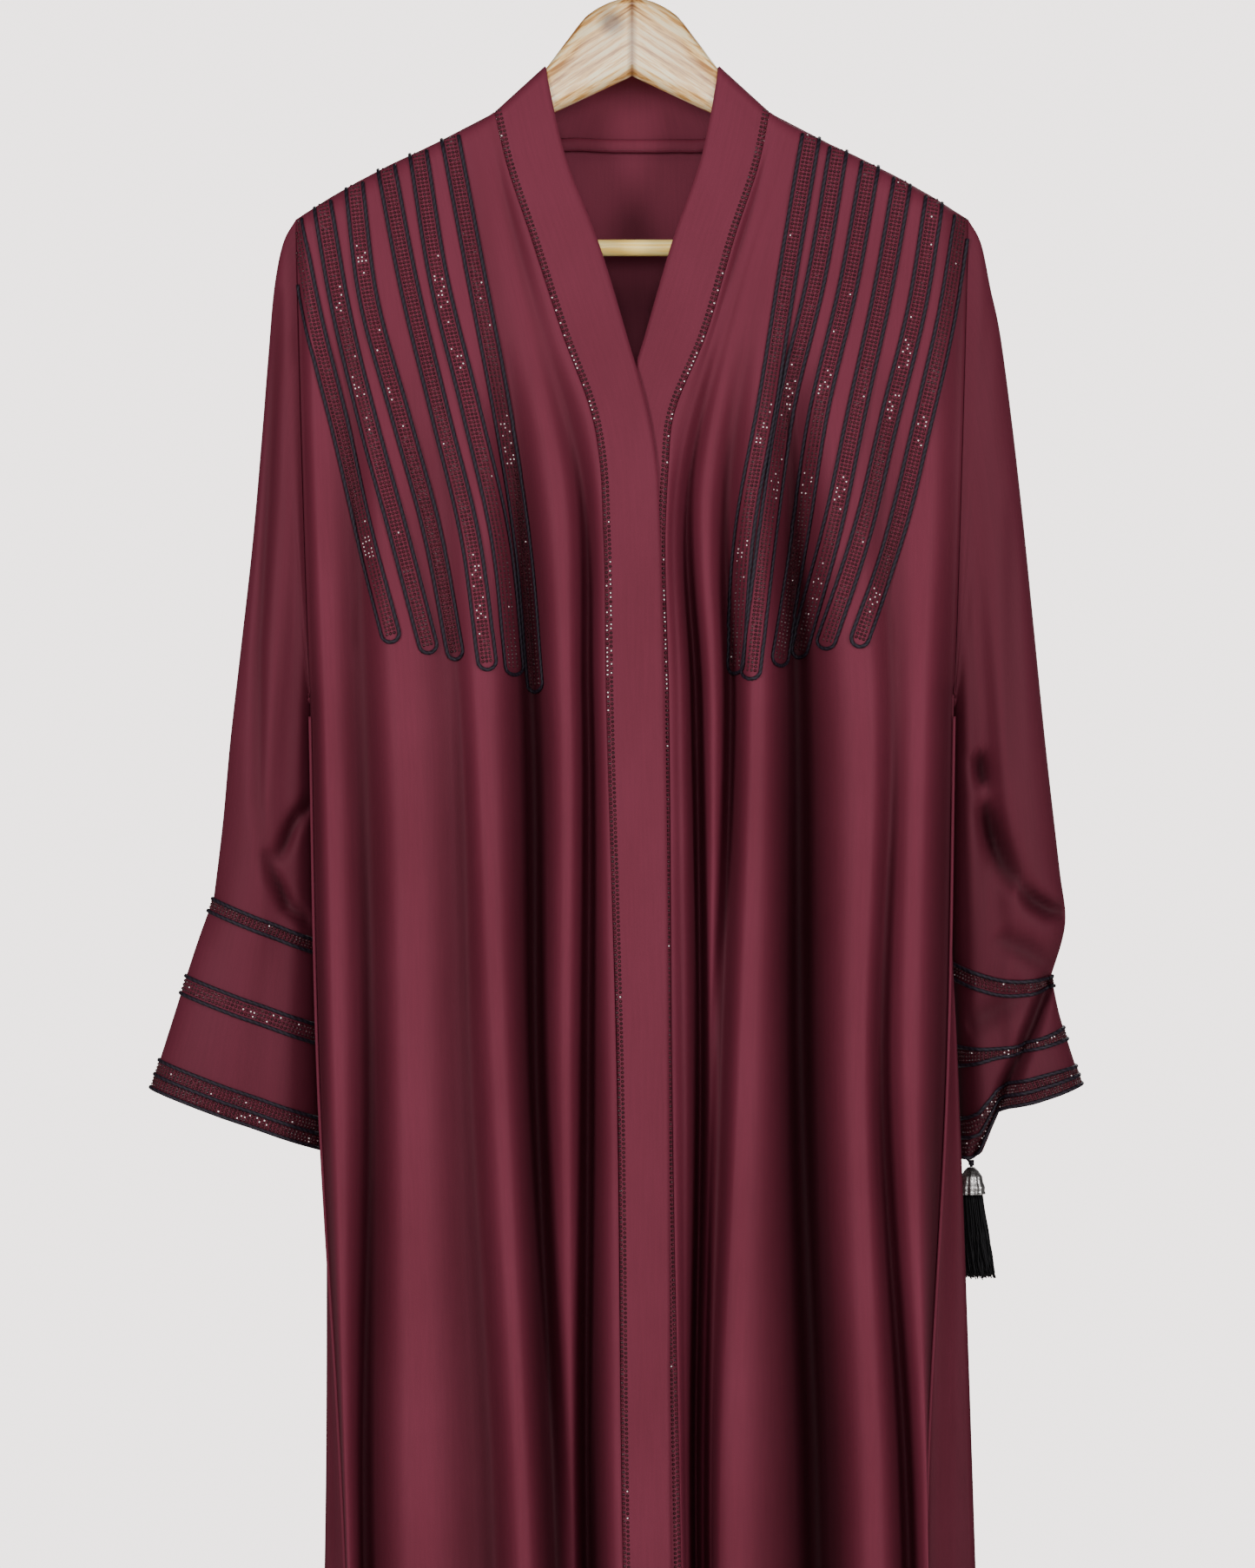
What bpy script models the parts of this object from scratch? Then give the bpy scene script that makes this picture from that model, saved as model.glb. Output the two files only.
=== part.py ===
"""An open-fronted abaya cloak hanging flat on a wooden clothes hanger.

The cloth is a thin wall: panels and bands are grids of fold lines, sleeves are rings that fan
out from the armhole. All sizes in the tables are millimetres. X runs to the viewer's right,
the front faces -Y, and the origin is the inside top of the hook, where it sits on a rail.
"""

import bpy
import bmesh
import numpy as np
from math import cos, pi, radians, sin
from mathutils import Matrix

MM = 0.001

WALL = 1.4               # cloth wall
BAND_WALL = 1.7          # the neckband is folded double
SEAM = 0.3               # space between two pieces at a seam
HEM_Z = -1538.0          # 1.42 m below the high shoulder point
SHOULDER_TIP = (222.0, -216.0)
UNDERARM = (213.0, -531.0)
SLOT_DEPTH = 10.0        # half depth of the flat-hanging armhole
NECK_X = 91.0            # where the neckband crosses the shoulder seam
COLLAR_X = 58.0          # where its top edge meets the hanger
COLLAR_BACK_Y = 25.0     # how far back the collar stands at the centre
COLLAR_DROP = 20.0       # how far its seam dips at the centre back
ROWS_BELOW_ARCH = 17
ARCH_ANGLES = (0.0, 30.0, 60.0, 90.0)

# The shoulder line, outer face: x and z.
SHOULDER_LINE = ((0, -72), (14, -75), (32, -86), (43, -98), (58, -115), (75, -131), (91, -145),
                 (120, -161), (160, -180), (195, -199), (222, -216))

# The hanger's half depth front to back, and its height, along x.
HANGER_COLUMNS = ("x", "half_depth", "height")
HANGER = ((0, 8, 53), (30, 8, 50), (60, 7.5, 40), (92, 6.0, 34), (125, 10, 34), (160, 14, 40),
          (185, 15.5, 54), (197, 12, 48), (205, 8, 36))

LEVEL_Z = {"chest": -274.0, "waist": -388.0, "hip": -531.0, "thigh": -787.0, "knee": -1044.0,
           "hem": HEM_Z}

ARM_WIDEST_X = 185.0
UNDER_CLOTH = 5.8        # how much lower the wood's top runs where cloth lies on it
ARM_CLEARANCE = 3.5      # between the wood and the cloth's outer face in front of it

# Fold lines of the panels: x at the shoulder and at each level, then y at each level.
FOLD_COLUMNS = ("name", "top", "chest", "waist", "hip", "thigh", "knee", "hem",
                "y_chest", "y_waist", "y_hip", "y_thigh", "y_knee", "y_hem")

FRONT_RIGHT_FOLDS = (
    ("ridge_a", -214, -210, -206, -200, -193, -186, -168, -20, -21, -22, -26, -30, -34),
    ("valley_b", -199, -194, -184, -178, -172, -174, -157, -21, -22, -22, -22, -21, -22),
    ("ridge_c", -182, -171, -163, -151, -146, -140, -131, -24, -31, -37, -44, -50, -56),
    ("valley_d", -160, -141, -130, -115, -107, -95, -90, -24, -25, -25, -29, -31, -33),
    ("ridge_e", -137, -114, -104, -99, -85, -70, -56, -25, -32, -40, -48, -55, -62),
    ("valley_f", -114, -89, -75, -66, -63, -50, -36, -20, -18, -17, -20, -22, -26),
    ("ridge_g", -104, -74, -50, -42, -43, -41, -27, -22, -31, -38, -43, -46, -52),
    ("valley_h", -98, -66, -36, -30, -30, -29, -17, -21, -25, -26, -28, -28, -32),
)
FRONT_LEFT_FOLDS = (
    ("ridge_i", 98, 60, 30, 31, 34, 37, 46, -22, -28, -32, -38, -42, -48),
    ("valley_j", 103, 66, 38, 42, 45, 44, 53, -21, -22, -20, -22, -23, -28),
    ("ridge_k", 108, 72, 50, 54, 53, 51, 60, -23, -27, -31, -34, -36, -42),
    ("valley_l", 113, 80, 63, 65, 61, 58, 68, -22, -22, -21, -22, -22, -26),
    ("ridge_m", 119, 90, 82, 80, 72, 66, 77, -24, -31, -38, -45, -50, -56),
    ("valley_n", 129, 104, 105, 109, 112, 122, 127, -22, -18, -16, -16, -16, -22),
    ("ridge_o", 149, 136, 140, 154, 152, 158, 164, -25, -32, -39, -46, -53, -60),
    ("valley_p", 177, 168, 168, 172, 166, 176, 181, -24, -26, -28, -28, -26, -30),
    ("ridge_q", 199, 193, 192, 187, 182, 188, 192, -22, -24, -30, -36, -42, -48),
)
BACK_FOLDS = (
    ("wrap_right", -214, -210, -206, -203, -203, -203, -216, 18, 18, 15, 12, 8, 6),
    ("back_a", -190, -187, -184, -184, -184, -188, -196, 25, 28, 30, 32, 34, 36),
    ("back_b", -165, -160, -156, -152, -152, -154, -156, 23, 22, 22, 22, 22, 24),
    ("back_c", -135, -130, -126, -122, -120, -120, -118, 27, 33, 38, 42, 46, 50),
    ("back_d", -93, -100, -96, -92, -88, -86, -82, 25, 26, 26, 26, 26, 28),
    ("back_e", -70, -66, -62, -60, -58, -54, -48, 27, 33, 40, 44, 48, 54),
    ("back_f", -36, -34, -32, -30, -28, -24, -18, 27, 27, 27, 28, 28, 30),
    ("back_g", 0, 2, 2, 2, 4, 8, 14, 28, 33, 38, 42, 46, 52),
    ("back_h", 36, 36, 36, 36, 38, 42, 48, 27, 27, 27, 28, 28, 30),
    ("back_i", 70, 68, 66, 66, 68, 72, 80, 27, 34, 40, 45, 49, 54),
    ("back_j", 93, 102, 98, 98, 100, 104, 110, 25, 26, 26, 26, 26, 28),
    ("back_k", 135, 130, 128, 128, 130, 134, 142, 27, 33, 38, 42, 46, 50),
    ("back_l", 165, 160, 158, 158, 160, 166, 172, 23, 22, 22, 22, 24, 26),
    ("back_m", 190, 187, 186, 187, 193, 204, 212, 25, 28, 30, 32, 34, 36),
    ("wrap_left", 214, 210, 207, 206, 217, 226, 240, 18, 18, 16, 14, 12, 10),
)
# Side seams below the underarm: x and y at hip, thigh, knee and hem.
SIDE_SEAM_RIGHT = ((-213, 0), (-207, -3), (-192, -8), (-176, -12))
SIDE_SEAM_LEFT = ((213, 0), (208, -3), (195, -6), (198, -10))

# Neckband routes: z, x of the edge sewn to the panel, x of the free edge, y.
BAND_COLUMNS = ("z", "seam_x", "free_x", "y")
BAND_RIGHT = ((-180, -83, -43, -19), (-229, -67, -24, -24), (-294, -46, -4, -28),
              (-354, -25, 12, -33), (-381, -21, 16, -35), (-420, -19, 18, -37),
              (-531, -17, 21, -39), (-787, -10, 24, -44), (-1044, -7, 25, -48), (HEM_Z, 4, 34, -54))
BAND_LEFT = ((-180, 84, 45, -19), (-229, 68, 28, -23), (-294, 49, 9, -26),
             (-354, 26, -8, -30), (-381, 24, -11, -32), (-420, 22, -12, -34),
             (-531, 24, -11, -36), (-787, 26, -9, -41), (-1044, 31, -6, -45), (HEM_Z, 42, 4, -51))

# Sleeve rings: the outer end on the silhouette, the inner end under the arm, the ring's middle
# in y, its half depth, and the depth of the long fold in its front.
RING_COLUMNS = ("outer_x", "outer_z", "inner_x", "inner_z", "mid_y", "half_depth", "fold")
SLEEVE_RIGHT = ((222.3, -216, 213.3, -531, 0, 10, 0), (231, -232, 213.8, -534, 1, 13, 0),
                (237, -262, 213.6, -538, 3, 15, 1), (241, -306, 213.2, -544, 5, 17, 2),
                (246, -366, 212.8, -552, 8, 19, 3), (252, -432, 212.2, -564, 10, 20, 4),
                (260, -502, 211.6, -582, 12, 21, 5), (267, -562, 211.0, -612, 14, 22, 5),
                (272, -616, 210.4, -652, 15, 22, 5), (278, -665, 210.0, -694, 16, 22, 5))
CUFF_RIGHT = ((278.2, -665.5, 210.0, -694.5, 16, 22, 5), (290, -698, 209.5, -730, 17, 24, 5),
              (305, -745, 209.0, -782, 17, 26, 4), (320, -792, 208.5, -834, 18, 28, 4))
SLEEVE_LEFT = ((222.3, -216, 213.3, -531, 0, 10, 0), (231, -232, 213.8, -534, 1, 13, 0),
               (237.5, -262, 213.8, -538, 3, 15, 1), (244, -292, 214, -543, 5, 17, 2),
               (252, -350, 214.5, -550, 8, 19, 4), (259.5, -415, 215, -560, 10, 21, 6),
               (267, -488, 215.6, -576, 12, 23, 8), (275, -566, 216, -602, 14, 24, 10),
               (284, -645, 216.6, -650, 15, 24, 9), (288, -682, 217, -684, 16, 23, 6),
               (279, -716, 217, -706, 16, 20, 4))
CUFF_LEFT = ((278.8, -716.6, 217, -706.6, 16, 20, 4), (284, -742, 217, -748, 17, 23, 5),
             (292, -768, 217.5, -794, 17, 25, 6), (299, -789, 218, -839, 18, 27, 6))
RING_POINTS = 22
FOLD_CENTRE = 0.62       # where the sleeve's long fold lies, from outer end to inner
FOLD_WIDTH = 0.2

BAR_Z = -235.0
BAR_RADIUS = 5.5
BAR_HALF_LENGTH = 184.0
HOOK_WIRE = 2.0
HOOK_RADIUS = 23.0       # to the middle of the wire
HOOK_FOOT_Z = -71.7

TASSEL_AT = (226.5, 30.0)    # x and y of its axis
TASSEL_LOOP_TOP = (221.8, 28.8, -837.7)
TASSEL_CAP = ((-845.5, 2.2), (-848, 5.0), (-852, 7.2), (-858, 8.6), (-862, 9.2), (-863.5, 9.0))
TASSEL_HEAD_Z = -868.0
TASSEL_STRAND_LENGTH = 52.0
TASSEL_RINGS = ((0.0, 1), (2.9, 7), (5.6, 14), (8.0, 20))

CLOTH = ("crepe_cloth", (0.155, 0.030, 0.045), 0.85, 0.0)
DARK_CORD = ("rayon_cord", (0.022, 0.014, 0.030), 0.6, 0.0)
WOOD = ("lacquered_wood", (0.72, 0.56, 0.36), 0.35, 0.0)
STEEL = ("hook_steel", (0.62, 0.62, 0.64), 0.3, 1.0)
SILVER = ("tassel_silver", (0.55, 0.55, 0.56), 0.35, 1.0)


def curve_through(places, values, at):
    """Hermite curve through the points (places, values), read at the places `at`."""
    places, values = np.asarray(places, float), np.asarray(values, float)
    slopes = np.gradient(values, places)
    i = np.clip(np.searchsorted(places, at, side="right") - 1, 0, len(places) - 2)
    span = places[i + 1] - places[i]
    t = np.clip((at - places[i]) / span, 0.0, 1.0)
    return (values[i] * (1 + 2 * t) * (1 - t) ** 2 + slopes[i] * span * t * (1 - t) ** 2
            + values[i + 1] * t * t * (3 - 2 * t) - slopes[i + 1] * span * t * t * (1 - t))


def shoulder_z(x):
    """Height of the shoulder line at x, the same on both sides."""
    line = np.array(SHOULDER_LINE, float)
    return curve_through(line[:, 0], line[:, 1], np.abs(x))


def hanger_size(x, column):
    table = np.array(HANGER, float)
    return curve_through(table[:, 0], table[:, HANGER_COLUMNS.index(column)], np.abs(x))


def arch_radius(x):
    """The cloth's rounding over the hanger arm, which shrinks to the armhole at its tip."""
    over_arm = hanger_size(np.minimum(np.abs(x), ARM_WIDEST_X), "half_depth") + ARM_CLEARANCE
    return over_arm * np.clip((SHOULDER_TIP[0] + 8 - np.abs(x)) / 18, 0.45, 1.0)


def rows_of(top_z, radius):
    """Heights of the rows of one fold line: round the arch, then down to the hem."""
    arch = [top_z - radius * (1 - cos(radians(a))) for a in ARCH_ANGLES]
    fall = np.linspace(0, 1, ROWS_BELOW_ARCH + 1)[1:] ** 1.3
    return np.concatenate([arch, arch[-1] + (HEM_Z - arch[-1]) * fall])


def fold_line(fold, facing, base_y=0.0, drop=0.0):
    """Points of one fold line. Facing is -1 on the front and +1 on the back."""
    row = dict(zip(FOLD_COLUMNS, fold))
    top_z, radius = shoulder_z(row["top"]) - drop, arch_radius(row["top"])
    z = rows_of(top_z, radius)
    levels = list(LEVEL_Z)
    foot_y = facing * max(radius, abs(base_y) + WALL)
    places = [radius - top_z] + [-LEVEL_Z[level] for level in levels]
    x = curve_through([-top_z] + places[1:], [row["top"]] + [row[level] for level in levels], -z)
    y = curve_through(places, [foot_y] + [row["y_" + level] for level in levels], -z)
    for i, angle in enumerate(ARCH_ANGLES):
        y[i] = base_y + (foot_y - base_y) * sin(radians(angle))
    return np.stack([x, y, z], axis=1)


def armhole_x(z):
    """The armhole is a straight line from the shoulder tip to the underarm."""
    share = (SHOULDER_TIP[1] - z) / (SHOULDER_TIP[1] - UNDERARM[1])
    return SHOULDER_TIP[0] + (UNDERARM[0] - SHOULDER_TIP[0]) * share


def armhole_depth(z):
    """Half depth of the armhole slot: half an ellipse between shoulder tip and underarm."""
    share = np.clip((SHOULDER_TIP[1] - z) / (SHOULDER_TIP[1] - UNDERARM[1]), 0, 1)
    return 2 * SLOT_DEPTH * np.sqrt(share * (1 - share))


def side_line(seam, facing):
    """Points of a panel's outer edge: round the armhole, then down the side seam."""
    side = np.sign(seam[0][0])
    z = rows_of(SHOULDER_TIP[1], arch_radius(SHOULDER_TIP[0]))
    # One row lies exactly at the underarm, so that the slot ends on it.
    z[np.argmin(np.abs(z - UNDERARM[1]))] = UNDERARM[1]
    places = [-LEVEL_Z[level] for level in ("hip", "thigh", "knee", "hem")]
    below = z < UNDERARM[1]
    seam_x = curve_through(places, [point[0] for point in seam], -z)
    seam_y = curve_through(places, [point[1] for point in seam], -z)
    x = np.where(below, seam_x, side * armhole_x(z))
    y = np.where(below, seam_y, 0.0) + facing * (armhole_depth(z) + SEAM / 2)
    return np.stack([x, y, z], axis=1)


def band_lines(route, inset):
    """The seam line and the free line of a neckband, moved in towards the opening by inset."""
    table = np.array(route, float)
    side = np.sign(route[0][1])
    radius = arch_radius(NECK_X)
    lines = []
    for column, top_x in (("seam_x", NECK_X), ("free_x", COLLAR_X)):
        top_z = shoulder_z(top_x)
        z = rows_of(top_z, radius)
        places = np.concatenate([[-top_z], -table[:, 0]])
        values = np.concatenate([[side * top_x], table[:, BAND_COLUMNS.index(column)]])
        x = curve_through(places, values, -z)
        foot = np.concatenate([[-(top_z - radius)], -table[1:, 0]])
        y = curve_through(foot, np.concatenate([[-radius], table[1:, 3]]), -z)
        for i, angle in enumerate(ARCH_ANGLES):
            y[i] = -SEAM / 2 - (radius - SEAM / 2) * sin(radians(angle))
        x = x - inset * side
        lines.append(np.stack([x, y, z], axis=1))
    return lines


def between(lines, steps):
    """Columns between neighbouring fold lines: straight in x and z, a cosine wave in y."""
    columns = []
    for first, second, count in zip(lines, lines[1:], steps):
        for step in range(count):
            share = step / count
            wave = (1 - cos(pi * share)) / 2
            columns.append(first + (second - first) * np.array([share, wave, share]))
    columns.append(lines[-1])
    return np.stack(columns, axis=1)


def grid_normals(grid, ring=False):
    """Unit normals of a grid of points, from the differences along its rows and columns."""
    down = np.gradient(grid, axis=0)
    if ring:
        across = np.roll(grid, -1, axis=1) - np.roll(grid, 1, axis=1)
    else:
        across = np.gradient(grid, axis=1)
    normals = np.cross(across, down)
    return normals / np.maximum(np.linalg.norm(normals, axis=2, keepdims=True), 1e-9)


def unit(vectors):
    return vectors / np.maximum(np.linalg.norm(vectors, axis=-1, keepdims=True), 1e-9)


def side_edge_normals(points, side, facing):
    """Shared by a panel and its neighbour: in the armhole's plane, then straight out sideways."""
    depth = armhole_depth(points[:, 2])
    share = np.clip((SHOULDER_TIP[1] - points[:, 2]) / (SHOULDER_TIP[1] - UNDERARM[1]), 0, 1)
    angle = np.arccos(1 - 2 * share)
    armhole = np.stack([0 * angle, facing * np.sin(angle), np.cos(angle)], axis=1)
    seam = np.tile([float(side), 0.0, 0.0], (len(points), 1))
    closed = (points[:, 2] < SHOULDER_TIP[1] - 1) & (depth < 1e-6)
    return np.where(closed[:, None], seam, armhole)


def seam_normals(count):
    """Shared by a front and its neckband: round the arch, then straight forward."""
    angles = [radians(a) for a in ARCH_ANGLES] + [pi / 2] * (count - len(ARCH_ANGLES))
    return np.array([[0.0, -sin(a), cos(a)] for a in angles])


def new_object(name, vertices, faces, material):
    """A mesh object in metres, with its faces turned outwards."""
    mesh = bpy.data.meshes.new(name)
    mesh.from_pydata([tuple(v * MM) for v in vertices], [], faces)
    work = bmesh.new()
    work.from_mesh(mesh)
    bmesh.ops.recalc_face_normals(work, faces=work.faces)
    work.to_mesh(mesh)
    work.free()
    obj = bpy.data.objects.new(name, mesh)
    bpy.context.scene.collection.objects.link(obj)
    mesh.materials.append(material_of(*material))
    mesh.shade_smooth()
    mesh.set_sharp_from_angle(angle=radians(40))
    return obj


def material_of(name, color, roughness, metallic):
    material = bpy.data.materials.get(name)
    if material is None:
        material = bpy.data.materials.new(name)
        material.use_nodes = True
        shader = material.node_tree.nodes["Principled BSDF"]
        shader.inputs["Base Color"].default_value = (*color, 1.0)
        shader.inputs["Roughness"].default_value = roughness
        shader.inputs["Metallic"].default_value = metallic
    return material


def wall_object(name, outer, normals, wall, material, ring=False):
    """A closed wall: the outer grid, the same grid moved in by the wall, and its rims."""
    rows, columns = outer.shape[:2]
    inner = outer - normals * wall
    vertices = np.concatenate([outer.reshape(-1, 3), inner.reshape(-1, 3)])
    half = rows * columns

    def at(row, column, side):
        return side * half + row * columns + column % columns

    faces = []
    spans = columns if ring else columns - 1
    for row in range(rows - 1):
        for column in range(spans):
            quad = [at(row, column, 0), at(row, column + 1, 0),
                    at(row + 1, column + 1, 0), at(row + 1, column, 0)]
            faces.append(quad)
            faces.append([v + half for v in reversed(quad)])
    for row in (0, rows - 1):
        for column in range(spans):
            faces.append([at(row, column, 0), at(row, column + 1, 0),
                          at(row, column + 1, 1), at(row, column, 1)])
    if not ring:
        for column in (0, columns - 1):
            for row in range(rows - 1):
                faces.append([at(row, column, 0), at(row + 1, column, 0),
                              at(row + 1, column, 1), at(row, column, 1)])
    return new_object(name, vertices, faces, material)


def front_panel(name, folds, seam, route):
    """A front, from its side edge to the neckband's seam."""
    side = np.sign(seam[0][0])
    outer_edge = side_line(seam, -1)
    seam_line = band_lines(route, 0.0)[0]
    inner = [fold_line(fold, -1, base_y=-SEAM / 2) for fold in folds]
    if side < 0:
        lines = [outer_edge] + inner + [seam_line]
    else:
        lines = [seam_line] + inner + [outer_edge]
    grid = between(lines, [3] * (len(lines) - 1))
    normals = -grid_normals(grid)
    normals[0] = unit(normals[0] * [1, 0, 1])
    edge, joined = (0, -1) if side < 0 else (-1, 0)
    normals[:, edge] = side_edge_normals(outer_edge, side, -1)
    normals[:, joined] = seam_normals(len(seam_line))
    return wall_object(name, grid, normals, WALL, CLOTH)


def neckband(name, route):
    """The band down a front edge, from the shoulder seam to the hem."""
    seam_line, free_line = band_lines(route, SEAM)
    grid = between([seam_line, free_line], [3])
    if route[0][1] > 0:
        grid = grid[:, ::-1]
    normals = -grid_normals(grid)
    normals[0] = unit(normals[0] * [1, 0, 1])
    joined = 0 if route[0][1] < 0 else -1
    normals[:, joined] = seam_normals(len(grid))
    return wall_object(name, grid, normals, BAND_WALL, CLOTH)


def collar_edge(share, x, y, drop):
    """Half an oval round the back of the neck, from one shoulder seam to the other."""
    angle = pi * share
    z = shoulder_z(x) - drop * np.sin(angle)
    across = np.sign(np.cos(angle)) * np.abs(np.cos(angle)) ** 0.5
    return np.stack([-x * across, SEAM / 2 + y * np.sin(angle) ** 0.8, z], axis=-1)


def collar_back():
    """The neckband's stretch round the back of the neck, standing up from its seam."""
    share = (1 - np.cos(pi * np.linspace(0, 1, 17))) / 2
    low = collar_edge(share, NECK_X - SEAM, COLLAR_BACK_Y, COLLAR_DROP)
    high = collar_edge(share, COLLAR_X - SEAM, COLLAR_BACK_Y, 6.0)
    grid = np.stack([low, (low + high) / 2, high], axis=0)
    normals = grid_normals(grid)
    for column in (0, -1):
        normals[:, column] = unit(normals[:, column] * [1, 0, 1])
    if normals[1, 7, 1] < 0:
        normals = -normals
    return wall_object("collar_back", grid, normals, BAND_WALL, CLOTH)


def neck_edge(x):
    """The point of the back's neck edge at x, just below the collar."""
    across = -x / (NECK_X - SEAM)
    share = np.arccos(np.sign(across) * np.abs(across) ** 2) / pi
    return collar_edge(share, NECK_X - SEAM, COLLAR_BACK_Y, COLLAR_DROP) - [0, 0, 4 * SEAM]


def follow_neck(grid):
    """Moves the top rows between the shoulder seams onto the curve of the collar's seam."""
    foot = len(ARCH_ANGLES) - 1
    for column in np.flatnonzero(np.abs(grid[0, :, 0]) < NECK_X - SEAM):
        start, end = neck_edge(grid[0, column, 0]), grid[foot, column].copy()
        for row, angle in enumerate(ARCH_ANGLES[:foot]):
            a = radians(angle)
            grid[row, column] = start + (end - start) * [1 - cos(a), sin(a), 1 - cos(a)]


def back_panel():
    """The back, from side edge to side edge, its neck edge just under the collar."""
    lines = [side_line(SIDE_SEAM_RIGHT, 1)]
    for fold in BACK_FOLDS:
        top = fold[1]
        base, drop = SEAM / 2, 0.0
        if abs(top) < NECK_X:
            neck = neck_edge(top)
            base, drop = neck[1], shoulder_z(top) - neck[2]
        lines.append(fold_line(fold, 1, base_y=base, drop=drop))
    lines.append(side_line(SIDE_SEAM_LEFT, 1))
    grid = between(lines, [2] * (len(lines) - 1))
    follow_neck(grid)
    normals = grid_normals(grid)
    normals[0] = unit(normals[0] * [1, 0, 1])
    middle = np.abs(grid[0, :, 0]) < NECK_X - 5
    normals[0, middle] = [0.0, 1.0, 0.0]
    normals[:, 0] = side_edge_normals(lines[0], -1, 1)
    normals[:, -1] = side_edge_normals(lines[-1], 1, 1)
    return wall_object("back", grid, normals, WALL, CLOTH)


def ring_grid(rings, side):
    """Rings of a sleeve: each a flat oval from its outer end to its inner end, with one long
    fold pressed into its front."""
    angle = 2 * pi * np.arange(RING_POINTS) / RING_POINTS
    share = (1 - np.cos(angle)) / 2
    front = np.sin(angle) > 0
    grid = []
    for ring in rings:
        row = dict(zip(RING_COLUMNS, ring))
        x = row["outer_x"] + (row["inner_x"] - row["outer_x"]) * share
        z = row["outer_z"] + (row["inner_z"] - row["outer_z"]) * share
        dent = np.cos(np.clip((share - FOLD_CENTRE) / FOLD_WIDTH, -1, 1) * pi / 2) ** 2
        y = row["mid_y"] - row["half_depth"] * np.sin(angle)
        y = y + np.where(front, row["fold"] * dent, 0.0)
        grid.append(np.stack([side * x, y, z], axis=1))
    return np.stack(grid)


def sleeve_and_cuff(side, sleeve_rings, cuff_rings, names):
    """A sleeve and its cuff share one run of rings, parted at the seam between them."""
    grid = ring_grid(sleeve_rings + cuff_rings, side)
    normals = grid_normals(grid, ring=True)
    middle = grid[5].mean(axis=0)
    if ((grid[5] - middle) * normals[5]).sum() < 0:
        normals = -normals
    angle = 2 * pi * np.arange(RING_POINTS) / RING_POINTS
    normals[0] = np.stack([0 * angle, -np.sin(angle), np.cos(angle)], axis=1)
    seam = len(sleeve_rings)
    shared = unit(normals[seam - 1] + normals[seam])
    normals[seam - 1] = shared
    normals[seam] = shared
    wall_object(names[0], grid[:seam], normals[:seam], WALL, CLOTH, ring=True)
    wall_object(names[1], grid[seam:], normals[seam:], WALL, CLOTH, ring=True)


def hanger_arms():
    """The wooden body: round-edged sections carried along x, closed at both tips."""
    table = np.array(HANGER, float)
    x = np.concatenate([-table[::-1, 0], table[1:, 0]])
    angles = 2 * pi * np.arange(12) / 12
    rings = []
    for place in x:
        depth, height = hanger_size(place, "half_depth"), hanger_size(place, "height")
        top = shoulder_z(place) - UNDER_CLOTH * (abs(place) > COLLAR_X - 5)
        middle = top - height / 2
        straight = height / 2 - depth
        z = middle + depth * np.cos(angles) + np.maximum(straight, 0) * np.sign(
            np.round(np.cos(angles), 6))
        if straight < 0:
            z = middle + height / 2 * np.cos(angles)
        y = depth * np.sin(angles)
        rings.append(np.stack([np.full(12, place), y, z], axis=1))
    rings = np.stack(rings)
    vertices = rings.reshape(-1, 3)
    faces = []
    for ring in range(len(x) - 1):
        for i in range(12):
            a, b = ring * 12 + i, ring * 12 + (i + 1) % 12
            faces.append([a, b, b + 12, a + 12])
    faces.append(list(range(12)))
    faces.append([len(vertices) - 1 - i for i in range(12)])
    arms = new_object("hanger_arms", vertices, faces, WOOD)
    work = bmesh.new()
    bmesh.ops.create_cone(work, cap_ends=True, segments=16, radius1=(BAR_RADIUS + SEAM) * MM,
                          radius2=(BAR_RADIUS + SEAM) * MM, depth=2 * (BAR_HALF_LENGTH + 1) * MM)
    bmesh.ops.rotate(work, verts=work.verts, matrix=Matrix.Rotation(pi / 2, 3, "Y"))
    bmesh.ops.translate(work, verts=work.verts, vec=(0, 0, BAR_Z * MM))
    mesh = bpy.data.meshes.new("bar_bore")
    work.to_mesh(mesh)
    work.free()
    bore = bpy.data.objects.new("bar_bore", mesh)
    bpy.context.scene.collection.objects.link(bore)
    bore.hide_render = True
    bore.display_type = "WIRE"
    cut = arms.modifiers.new("bar bore", "BOOLEAN")
    cut.operation = "DIFFERENCE"
    cut.object = bore
    cut.solver = "EXACT"
    return arms


def rod(name, points, radius, material, sides=2):
    """A round rod along a line of points, as a curve with a bevel and filled caps."""
    data = bpy.data.curves.new(name, "CURVE")
    data.dimensions = "3D"
    data.bevel_depth = radius * MM
    data.bevel_resolution = sides
    data.use_fill_caps = True
    spline = data.splines.new("POLY")
    spline.points.add(len(points) - 1)
    for target, point in zip(spline.points, points):
        target.co = (*(np.array(point) * MM), 1.0)
    obj = bpy.data.objects.new(name, data)
    bpy.context.scene.collection.objects.link(obj)
    data.materials.append(material_of(*material))
    return obj


def hook():
    """Steel wire: straight up from the wood, then round the rail and open at the left."""
    centre_z = HOOK_WIRE - HOOK_RADIUS
    points = [(0, 0, HOOK_FOOT_Z), (0, 0, centre_z - HOOK_RADIUS - 12)]
    points += [(0, 0, centre_z - HOOK_RADIUS - 6)]
    for degrees in (-70, -52, -34, -16, 2, 20, 38, 56, 74, 92, 110, 128, 146, 164, 182, 200):
        angle = radians(degrees)
        points.append((HOOK_RADIUS * cos(angle), 0, centre_z + HOOK_RADIUS * sin(angle)))
    return rod("hanger_hook", points, HOOK_WIRE, STEEL)


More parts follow.
